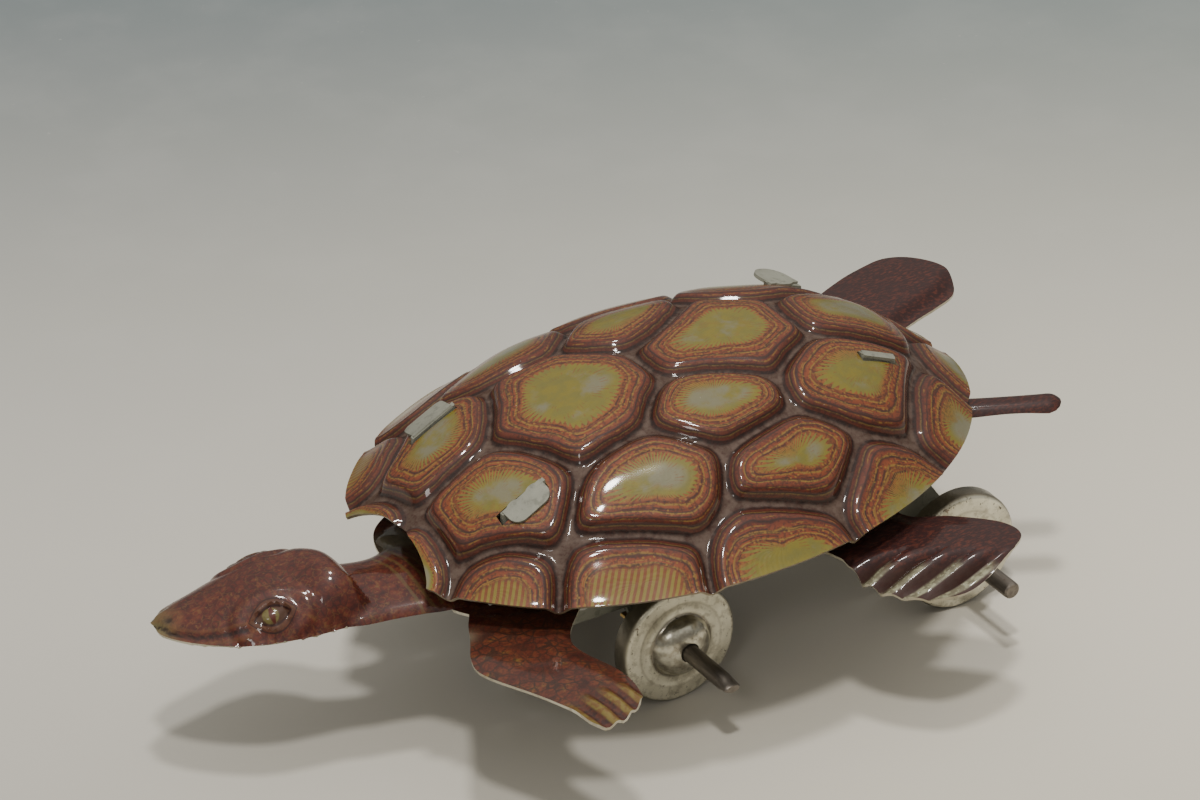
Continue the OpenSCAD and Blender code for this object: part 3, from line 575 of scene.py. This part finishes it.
def build_shell():
    n = 560
    th = np.linspace(0, 2 * math.pi, n, endpoint=False)
    lo, hi = np.full(n, 0.5), np.ones(n)
    for _ in range(40):
        mid = (lo + hi) / 2
        ok = dome(SHELL_A * mid * np.cos(th), SHELL_B * mid * np.sin(th)) >= arch(SHELL_B * mid * np.sin(th))
        lo, hi = np.where(ok, mid, lo), np.where(ok, hi, mid)
    rho = np.where((np.cos(th) < 0) & (np.abs(SHELL_B * np.sin(th)) < ARCH_W / 2), lo, 1.0)
    wide, deep = 34.0, 34.0 * 0.74     # the drawing plane's half sizes
    rim_loop = np.stack([wide * unroll(rho) * np.cos(th), deep * unroll(rho) * np.sin(th)], 1)
    loops = [resample(rim_loop, 0.33)]
    for sx, side, half in SLOTS:
        x0, x1, (y0, y1) = sx - half, sx + half, SLOT_Y
        n1, n2 = 18, 4
        box = ([(x0 + (x1 - x0) * k / n1, y0) for k in range(n1)]
               + [(x1, y0 + (y1 - y0) * k / n2) for k in range(n2)]
               + [(x1 - (x1 - x0) * k / n1, y1) for k in range(n1)]
               + [(x0, y1 - (y1 - y0) * k / n2) for k in range(n2)])
        box = np.array(box) * [1, side]
        r = np.hypot(box[:, 0] / SHELL_A, box[:, 1] / SHELL_B)
        k = unroll(r) / r
        loops.append(np.stack([wide * k * box[:, 0] / SHELL_A, deep * k * box[:, 1] / SHELL_B], 1))
    outer, holes = loops[0], loops[1:]

    def keep(p):
        out = inside(p, outer)
        for h in holes:
            out &= ~inside(p, h)
        return out

    flat, tris = triangulate(loops, 0.30, keep)
    u, v = flat[:, 0] / wide, flat[:, 1] / deep
    r = np.minimum(np.hypot(u, v), 1.0)
    k = roll(r) / np.maximum(r, 1e-9)
    x, y = SHELL_A * u * k, SHELL_B * v * k
    i, d, ox, oy = scute_field(x, y)
    z = dome(x, y)
    p = np.stack([x, y, z], 1)
    nrm = normals(p, tris)
    nrm[:, 2] = np.maximum(nrm[:, 2], 0.25)
    nrm /= np.linalg.norm(nrm, axis=1, keepdims=True)
    # each scute is pressed up from its groove, with a low ridge beside it and slight dents over all
    size = np.array([d[i == s].max() if (i == s).any() else 5.0 for s in range(len(SCUTES))])
    size = np.clip(size, 4.0, 8.0)
    st = (d - 0.42) / (size[i] - 0.42)
    lift = (0.34 * (1 - np.exp(-(d / 2.0) ** 2)) - 0.95 * np.exp(-(d / 0.80) ** 2)
            + 0.12 * np.exp(-((d - 1.45) / 0.40) ** 2))
    rng = np.random.default_rng(7)
    waves = sum(0.05 * np.sin(x * fx + y * fy + ph)
                for fx, fy, ph in rng.uniform(-0.5, 0.5, (6, 3)) * [1, 1, 12])
    p = p + nrm * (lift + waves - 0.08)[:, None]
    rim_d = distance(flat, outer)[0]
    verts, faces, mats = solidify(p, tris, TIN)
    rng = np.random.default_rng(3)
    sid = rng.random(len(SCUTES))
    edge = (np.abs(SCUTES[i, 1]) > 14) & (SCUTES[i, 0] < -15)
    attrs = {"sd": d, "st": st, "ang": np.arctan2(oy, ox), "sid": sid[i], "rim": np.exp(-rim_d / 0.5),
             "comb": np.where(edge, (x + np.abs(y)) * 2 * math.pi / 0.95, 0.0),
             "side": -(0.35 * ox + np.sign(y + 0.01) * oy) / np.maximum(np.hypot(ox, oy), 0.5)}
    attrs = {k2: np.concatenate([a, a]) for k2, a in attrs.items()}
    return add_mesh("carapace", to_world(verts), faces, [SHELL_PRINT, INNER_TIN, SHELL_EDGE], "chassis",
                    mats, attrs, 38, ("shell",))


build_shell()

# ---------------------------------------------------------------- body stamping
HEAD_AT, HEAD_TURN = np.array([-50.6, 5.0]), math.radians(-16)
BELLY = [[-34, -7], [-28, -14], [-12, -17], [10, -17], [25, -15], [34, -8], [36.4, 0], [34, 9], [25, 15],
         [10, 17], [-12, 17], [-28, 13], [-34, 7]]
NECK = [[-27, -9], [-33, -8.8], [-36.6, -7.6], [-39.8, -6.6], [-43.4, -5.6], [-46, -3.4], [-46.5, 4],
        [-45, 9.2], [-41.2, 7.2], [-38.6, 5.8], [-36, 5.2], [-33.6, 6.2], [-33, 8.5], [-27, 9]]
HEAD = [[-40.2, -4.4], [-42.0, -5.2], [-45.4, -4.9], [-50.3, -4.0], [-55.6, -1.9], [-60, 1.9],
        [-62.3, 5.4], [-62.25, 8.0], [-62.0, 9.0], [-59.6, 10.3], [-54.4, 11.5], [-50.0, 12.2],
        [-46.3, 11.9], [-43, 9.6], [-41.2, 6.6], [-40, 2.4]]
LEFT_FORE = [[-20, -11], [-30, -9], [-33, -11.6], [-35, -15.2], [-37, -18.8], [-37.2, -22],
             [-34.4, -28.5], [-33, -32.6], [-32.4, -37], [-30.6, -37.9], [-28.4, -37.4], [-26.3, -36.2],
             [-24.9, -34.6], [-24.6, -29.8], [-26.1, -23.5], [-25, -20.1], [-20.3, -15]]
RIGHT_FORE = [[-28, 9], [-28, 15], [-25, 21], [-21, 26], [-17, 29.5], [-13, 30.5], [-10.5, 28.5],
              [-12, 25], [-16, 21.5], [-18, 17], [-14, 12]]
LEFT_HIND = [[4, -14], [6, -20], [7.4, -24.8], [8.6, -28.9], [11.2, -32.8], [14.8, -35.6], [19.4, -36],
             [23.6, -35.1], [26.8, -33], [26.4, -29.6], [22.6, -25.4], [18.2, -21.8], [18, -13]]
RIGHT_HIND = [[22, 11], [29, 17.5], [35.5, 22.5], [41, 24.9], [45, 25.9], [48.4, 26.2], [51.2, 24.7],
              [53.2, 21.6], [53.3, 18.6], [51.6, 15.9], [48.2, 14.6], [44, 13.4], [38.5, 11.2], [33, 7]]
# The last two points only steer the curve's two ends.
TAIL_LINE = curve([[32.6, -6.2], [37, -8.9], [40, -10.6], [42.6, -12.0], [44.8, -13.1], [48.5, -14.8],
                   [28.2, -3.6]], 8)[:33]
TAIL_R = 1.85


def smooth(x, lo, hi):
    t = np.clip((x - lo) / (hi - lo), 0, 1)
    return t * t * (3 - 2 * t)


def tail_outline():
    d = np.gradient(TAIL_LINE, axis=0)
    n = np.stack([-d[:, 1], d[:, 0]], 1) / np.linalg.norm(d, axis=1, keepdims=True)
    s = np.linspace(0, 1, len(TAIL_LINE))
    w = TAIL_R * (0.96 + 0.04 * np.cos(s * 5.5))
    a = np.radians([65, 40, 15, -15, -40, -65])
    way = np.array([n[-1, 1], -n[-1, 0]])
    tip = TAIL_LINE[-1] + w[-1] * (0.85 * np.cos(a)[:, None] * way + np.sin(a)[:, None] * n[-1])
    return np.vstack([TAIL_LINE + n * w[:, None], tip, (TAIL_LINE - n * w[:, None])[::-1]])


def build_body():
    step = 0.36
    head = resample(curve(HEAD), EDGE)
    parts = {"belly": curve(BELLY), "neck": curve(NECK), "left_fore": curve(LEFT_FORE),
             "right_fore": curve(RIGHT_FORE),
             "left_hind": curve(LEFT_HIND), "right_hind": curve(RIGHT_HIND)}
    parts = {k: resample(c, 0.4) for k, c in parts.items()}
    parts["head"] = head
    parts["tail"] = resample(tail_outline(), EDGE)
    bay = resample([[-29.6, -10.5], [28.8, -10.5], [28.8, 10.5], [-29.6, 10.5]], 0.5)

    def keep(p):
        out = np.zeros(len(p), bool)
        for loop in parts.values():
            out |= inside(p, loop)
        return out & ~inside(p, bay)

    flat, tris = triangulate(list(parts.values()) + [bay], step, keep)
    x, y = flat[:, 0], flat[:, 1]

    def on_part(key):
        return inside(flat, parts[key]) | (distance(flat, parts[key])[0] < 0.08)

    # head, pressed up into a half egg
    ca, sa = math.cos(HEAD_TURN), math.sin(HEAD_TURN)
    hx = (x - HEAD_AT[0]) * ca + (y - HEAD_AT[1]) * sa
    hy = -(x - HEAD_AT[0]) * sa + (y - HEAD_AT[1]) * ca
    in_head = on_part("head")
    hd = distance(flat, head)[0]
    half = 7.6 - 3.6 * smooth(-hx, 0, 12.5) - 3.4 * smooth(hx, 3, 9)
    rise = 4.6 - 2.9 * smooth(-hx, -2, 10) - 2.0 * smooth(hx, 9.5, 12) + 1.1 * np.exp(-((hx - 7.2) / 3) ** 2)
    q = np.clip((hd - 0.22) / half, 0, 1)
    head_z = rise * (1 - (1 - q) ** 2.1) ** 0.72
    head_z = np.where(in_head, head_z, 0)
    # neck: a low arch that flattens under the carapace
    nd = distance(flat, parts["neck"])[0]
    in_neck = on_part("neck")
    neck_z = np.where(in_neck, 2.3 * np.sqrt(np.clip(nd / 5.6, 0, 1)) * smooth(-x, 28, 35), 0)
    z = np.maximum(head_z, neck_z)
    in_neck &= ~in_head

    # tail: half round
    td = distance(flat, TAIL_LINE, False)[0]
    in_tail = on_part("tail") & ~inside(flat, parts["belly"])
    z = np.where(in_tail, TAIL_R * np.sqrt(np.clip(1 - (td / (1.04 * TAIL_R)) ** 2, 0.03, 1)) - 0.15, z)

    # legs: a shallow swelling, rolled edges and toes
    toe, stripe, hind, fore = np.zeros((4, len(flat)))
    for key in ("left_fore", "right_fore", "left_hind", "right_hind"):
        on = on_part(key) & ~inside(flat, parts["belly"])
        d = distance(flat, parts[key])[0]
        z = np.where(on, z + 0.35 * smooth(d, 0, 2.5), z)
        if key.endswith("hind"):
            hind = np.where(on, 1.0, hind)
        else:
            fore = np.where(on, smooth(np.abs(y), 12, 17), fore)
    # left fore toes: long claws side by side
    a = (x + 28.5) * 0.93 + (y + 37) * 0.1
    on = on_part("left_fore") & (y < -29)
    reach = smooth(-y, 31.0, 34.5)
    toe = np.where(on, reach, toe)
    ph = a * 2 * math.pi / TOE_PITCH
    stripe = np.where(on, ph, stripe)
    z = np.where(on, z + 0.28 * reach * np.sin(ph), z)
    # left hind toes: four rounded toes that hang down from the edge
    on = on_part("left_hind")
    ph = (-y - 28.3) * 2 * math.pi / TOE_PITCH
    round_toe = np.sqrt(np.abs(np.sin(ph / 2)) + 0.02)
    hang = np.where(on, smooth(-0.533 * x - 0.846 * y - 1.5 * round_toe, 15.0, 20.2)
                    * smooth(-y, 24.5, 28.5), 0)
    z = np.where(on, z - 3.1 * hang + 0.60 * hang * round_toe, z)
    toe = np.where(on, smooth(hang, 0.22, 0.55), toe)
    stripe = np.where(on, ph, stripe)
    # right hind: its left edge is rolled down
    on = on_part("right_hind") & (x > 40)
    d = distance(flat, parts["right_hind"])[0]
    side = (y - 14.2) - (x - 46) * 0.33
    z = np.where(on, z - 1.2 * smooth(3.5 - d, 0.5, 3.2) * smooth(3.5 - side, 0, 3), z)

    top = np.stack([x, y, z + PLATE_Z + 0.4], 1)
    # eyes: a place on the side of the head, then a ring and a ball raised from it
    local = np.stack([hx, -np.abs(hy), z], 1)
    eye_at = np.array([0.6, -6.0])
    k = int(np.argmin(np.hypot(local[:, 0] - eye_at[0], local[:, 1] - eye_at[1]) + (~in_head) * 99))
    centre = local[k]
    nrm_all = normals(np.stack([hx, hy, z], 1), tris)
    n0 = nrm_all[k] * [1, np.sign(-hy[k]) or 1, 1]
    n0 = n0 / np.linalg.norm(n0)
    ua = np.array([1.0, 0.06, 0.10])
    ua -= n0 * (ua @ n0)
    ua /= np.linalg.norm(ua)
    va = np.cross(n0, ua)
    va = va if va[2] > 0 else -va
    rel = local - centre
    eu = np.where(in_head, rel @ ua, 9.0)
    ev = np.where(in_head, rel @ va, 9.0)
    opened = 0.98 * (1 - (eu / 1.95) ** 2) - np.abs(ev)
    near = in_head & (np.abs(rel @ n0) < 3)
    socket = np.hypot(eu / 4.3, ev / 3.2)
    ring = np.where(near, 0.20 * np.exp(-((socket - 0.98) / 0.20) ** 2)
                    + 0.10 * smooth(1.12 - socket, 0, 0.4)
                    + 0.22 * np.exp(-((opened + 0.55) / 0.30) ** 2), 0)
    ball = np.where(near, 0.32 * np.sqrt(np.clip(1 - (eu / 1.6) ** 2 - (ev / 1.05) ** 2, 0, 1)), 0)
    pit = np.where(near, -0.22 * np.exp(-((opened + 0.06) / 0.20) ** 2)
                   - 0.12 * np.exp(-((socket - 1.20) / 0.10) ** 2), 0)
    tn = normals(top, tris)
    top = top + tn * (ring + ball + pit)[:, None]
    # mouth line along the side of the beak, and the nostril
    mouth_line = np.array([[-12.0, -0.6], [-10.6, -3.2], [-8.2, -5.0], [-5.2, -6.2], [-2.6, -6.9]])
    md = distance(np.stack([hx, -np.abs(hy)], 1), mouth_line, False)[0]
    md = np.where(in_head, md, 9)
    nose = np.hypot(hx + 10.4, np.abs(hy) - 1.5)
    top = top - tn * (0.22 * np.exp(-(md / 0.3) ** 2)
                      + 0.25 * np.where(in_head, np.exp(-(nose / 0.35) ** 2), 0))[:, None]
    md = np.minimum(md, np.where(in_head, nose * 0.42, 9))
    attrs = {"hind": np.where(in_tail, 1.0, hind), "fore": fore, "toe": toe, "stripe": stripe,
             "beak": np.where(in_head, smooth(-hx, 9.0, 12.2), 0),
             "neck": np.where(in_neck & (np.abs(y - 0.5) < 8.5), x + 40, 99), "eu": eu, "ev": ev,
             "mouth": md,
             "olive_grey_patch": np.exp(-np.hypot((x + 35.2) / 1.5, (y + 14.2) / 1.4) ** 2 * 1.2)
             + np.where(x < -30, smooth(y, 3.2, 5.5) * smooth(9.9 - y, 0, 1.5) * smooth(x, -35, -33.6), 0)}
    verts, faces, mats = solidify(top, tris, TIN)
    attrs = {k2: np.concatenate([a2, a2]) for k2, a2 in attrs.items()}
    return add_mesh("body_tin", to_world(verts), faces, [BODY_PRINT, INNER_TIN, CUT_EDGE], "chassis",
                    mats, attrs, 42, ("body_plate",))


build_body()


# ---------------------------------------------------------------- wheels and axles
def revolve(profile, at, side, segments=96, wobble=0.0, seed=0):
    """Turn [radius, distance outwards] round the axle. Returns metres and faces."""
    rng = np.random.default_rng(seed)
    ph = rng.uniform(0, 6.28, 4)
    th = np.linspace(0, 2 * math.pi, segments, endpoint=False)
    prof = np.asarray(profile, float)
    n = len(prof)
    verts = []
    for t in th:
        w = wobble * (math.sin(2 * t + ph[0]) + 0.6 * math.sin(3 * t + ph[1]))
        for r, o in prof:
            out = o - abs(w) * (r / WHEEL_R) ** 2
            verts.append((at[0] + r * math.cos(t), side * out, at[1] + r * math.sin(t)))
    faces = []
    for i in range(segments):
        j = (i + 1) % segments
        for k in range(n):
            l = (k + 1) % n
            q = (i * n + k, i * n + l, j * n + l, j * n + k)
            faces.append(q if side < 0 else q[::-1])
    return np.array(verts) * MM, faces


def arc(c, r, a0, a1, n):
    """Points on an arc, angles in degrees."""
    return [(c[0] + r * math.cos(math.radians(a0 + (a1 - a0) * i / n)),
             c[1] + r * math.sin(math.radians(a0 + (a1 - a0) * i / n))) for i in range(n + 1)]


def wheel_profile(face):
    """Pressed cup with a shallow ring and a domed middle, seen in half section."""
    t = 0.32
    outer = [(1.16, 1.76), (1.20, 1.97), (1.5, 1.94), (2.0, 1.80), (2.5, 1.57), (2.9, 1.32), (3.2, 1.05),
             (3.45, 0.75), (3.62, 0.46), (3.74, 0.20), (3.9, -0.02), (4.2, -0.12), (4.6, -0.13),
             (5.0, -0.10), (5.35, 0.0), (5.7, 0.02), (6.3, -0.02), (6.75, -0.06)]
    outer += arc((6.75, -0.72), 0.68, 80, 0, 6) + [(WHEEL_R - 0.02, -1.2), (WHEEL_R, -2.3),
                                                   (WHEEL_R - 0.05, -2.4)]
    inner = [(WHEEL_R - t, -2.38), (WHEEL_R - t - 0.03, -1.0), (6.7, -0.46), (5.7, -0.36), (4.5, -0.48),
             (3.8, -0.40), (3.45, 0.10), (3.25, 0.48), (2.9, 0.88), (2.4, 1.24), (1.9, 1.48), (1.5, 1.60),
             (1.16, 1.66)]
    return [(r, face + o) for r, o in outer + inner]


def build_wheels():
    for name, x, face, side, body, seed in (
            ("front_left_wheel", FRONT_X, 14.8, -1, "drive_axle", 1),
            ("front_right_wheel", FRONT_X, 14.8, 1, "drive_axle", 2),
            ("rear_left_wheel", REAR_X, 15.7, -1, "rear_axle", 3),
            ("rear_right_wheel", REAR_X, 15.7, 1, "rear_axle", 4)):
        verts, faces = revolve(wheel_profile(face), (x, WHEEL_R), side, 120, 0.05, seed)
        rad = np.hypot(verts[:, 0] - x * MM, verts[:, 2] - WHEEL_R * MM) / MM
        add_mesh(name + "_tin", verts, faces, [WHEEL_TIN], body, None, {"rad": rad}, 50,
                 (name,))


def axle(name, x, body, pinched):
    """A wire with a slightly rough left end, pinched flat on the front axle."""
    half = 25.6
    seg = 40
    stations = [(-half, 0.80), (-half + 0.18, 0.97), (-half + 0.5, 1.0), (-half + 1.2, 1.0),
                (-half + 2.0, 1.0)]
    stations += [(-half + 3.5, 1.0), (0, 1.0), (half - 0.3, 1.0), (half, 0.9)]
    verts, faces = [], []
    for y, s in stations:
        pinch = smooth(np.array([-half + 2.2 - y]), 0, 2.0)[0] if pinched else 0.0
        for i in range(seg):
            t = 2 * math.pi * i / seg
            r = 1.05 * s
            dx, dz = r * math.cos(t), r * math.sin(t)
            verts.append((x + dx, y, WHEEL_R + dz * (1 - 0.50 * pinch)))
    for k in range(len(stations) - 1):
        for i in range(seg):
            j = (i + 1) % seg
            faces.append((k * seg + i, k * seg + j, (k + 1) * seg + j, (k + 1) * seg + i))
    faces.append(tuple(range(seg)))
    faces.append(tuple(reversed(range((len(stations) - 1) * seg, len(stations) * seg))))
    faces = [f[::-1] for f in faces]
    add_mesh(name + "_wire", np.array(verts) * MM, faces, [AXLE_STEEL], body, None, None, 35,
             (name,))


build_wheels()
axle("front_axle", FRONT_X, "drive_axle", True)
axle("rear_axle", REAR_X, "rear_axle", False)

# ---------------------------------------------------------------- CAD nodes that are shown as they are
CARRIED = {"frame_tin": FRAME_TIN, "steel": STEEL, "axle_steel": AXLE_STEEL, "spring_steel": SPRING_STEEL,
           "gear_brass": BRASS, "key_steel": KEY_STEEL, "wheel_tin": WHEEL_TIN, "shell_litho": SHELL_PRINT,
           "body_litho": BODY_PRINT}
slots = {s["node"]: s["material_slot"] for s in frame["record"]["subparts"]}
for node, obj in frame["nodes"].items():
    obj.data.materials.clear()
    obj.data.materials.append(CARRIED[slots[node]])

# ---------------------------------------------------------------- stage
def floor_material():
    """Pale paper with painted light falloff: darker and bluer farther away, darker at its nearest edge and
    to the left, lighter to the right.
    """
    m = Mat("floor_paper")
    n = m.t.nodes.new("ShaderNodeSeparateXYZ")
    m.put(n.inputs[0], m.obj)
    away = m.math("ADD", m.math("MULTIPLY", n.outputs[0], 0.533), m.math("MULTIPLY", n.outputs[1], 0.846))
    # painted light falloff: darker and bluer farther away
    base = m.mix(m.step(away, 0.0, 0.20), (0.490, 0.470, 0.415), (0.122, 0.152, 0.160))
    # painted shade: darker at the nearest edge
    base = m.mix(1.0, base, m.mix(m.step(away, -0.12, 0.02), (0.80, 0.79, 0.75), (1.0, 1.0, 1.0)),
                 "MULTIPLY")
    # painted light falloff: darker to the left, lighter to the right
    across = m.math("SUBTRACT", m.math("MULTIPLY", n.outputs[0], 0.846),
                    m.math("MULTIPLY", n.outputs[1], 0.533))
    base = m.mix(1.0, base, m.mix(m.step(across, -0.10, 0.10), (0.88, 0.88, 0.90), (1.20, 1.17, 1.13)),
                 "MULTIPLY")
    base = m.mix(m.math("MULTIPLY", m.step(m.noise(60, 4), 0.4, 0.7), 0.06), base, (0.50, 0.49, 0.47))
    base = m.mix(m.math("MULTIPLY", m.step(m.noise(900, 3), 0.70, 0.74), 0.20), base, (0.40, 0.39, 0.37))
    m.bump(m.noise(1500, 3), 0.25, 0.05)
    return m.finish(base, 0.75)


def build_stage():
    me = bpy.data.meshes.new("floor")
    xs = np.linspace(-1.5, 2.5, 9)
    v = [(x, y, 0.0) for y in xs for x in xs]
    f = [(j * 9 + i, j * 9 + i + 1, (j + 1) * 9 + i + 1, (j + 1) * 9 + i)
         for j in range(8) for i in range(8)]
    me.from_pydata(v, [], f)
    me.materials.append(floor_material())
    floor = bpy.data.objects.new("floor", me)
    bpy.context.scene.collection.objects.link(floor)


build_stage()


def lamp(name, direction, far, size, watts, color):
    """A round area lamp that points at the toy from one direction."""
    data = bpy.data.lights.new(name, "AREA")
    data.shape = "DISK"
    data.size = size
    data.energy = watts
    data.color = color
    obj = bpy.data.objects.new(name, data)
    d = Vector(direction).normalized()
    obj.location = d * far + Vector((0, 0, 0.02))
    obj.rotation_euler = d.to_track_quat("Z", "Y").to_euler()
    bpy.context.scene.collection.objects.link(obj)


lamp("overhead_lamp", (0.0, 0.0, 1.0), 1.1, 0.12, 6.0, (1.0, 0.98, 0.94))
lamp("front_lamp", (-0.195, -0.304, 1.0), 1.2, 0.12, 7.4, (1.0, 0.97, 0.92))
lamp("side_lamp", (-0.62, -0.62, 0.62), 1.2, 0.20, 1.3, (1.0, 0.98, 0.95))

# a warm sky, darker towards the horizon
world = bpy.data.worlds.new("studio")
bpy.context.scene.world = world
world.use_nodes = True
bg = world.node_tree.nodes["Background"]
bg.inputs["Color"].default_value = (1.0, 0.97, 0.90, 1.0)
way = world.node_tree.nodes.new("ShaderNodeTexCoord")
split = world.node_tree.nodes.new("ShaderNodeSeparateXYZ")
sky = world.node_tree.nodes.new("ShaderNodeMapRange")
for socket, value in zip(list(sky.inputs)[1:5], (0.0, 0.8, 0.16, 0.82)):
    socket.default_value = value
world.node_tree.links.new(way.outputs["Generated"], split.inputs[0])
world.node_tree.links.new(split.outputs[2], sky.inputs[0])
world.node_tree.links.new(sky.outputs[0], bg.inputs["Strength"])

# the photograph's viewing angle
camera = bpy.data.objects.new("camera", bpy.data.cameras.new("camera"))
bpy.context.scene.collection.objects.link(camera)
bpy.context.scene.camera = camera
camera.data.lens = 185.7
camera.data.sensor_width = 36.0
camera.data.clip_start, camera.data.clip_end = 0.05, 20.0
right = Vector((0.8463, -0.5327, 0.0))
up = Vector((0.2709, 0.4304, 0.8610))
back = Vector((-0.4587, -0.7287, 0.5086))
camera.matrix_world = Matrix(((right.x, up.x, back.x, -0.328700 + BODY_X * MM),
                              (right.y, up.y, back.y, -0.509000),
                              (right.z, up.z, back.z, 0.388000),
                              (0, 0, 0, 1)))

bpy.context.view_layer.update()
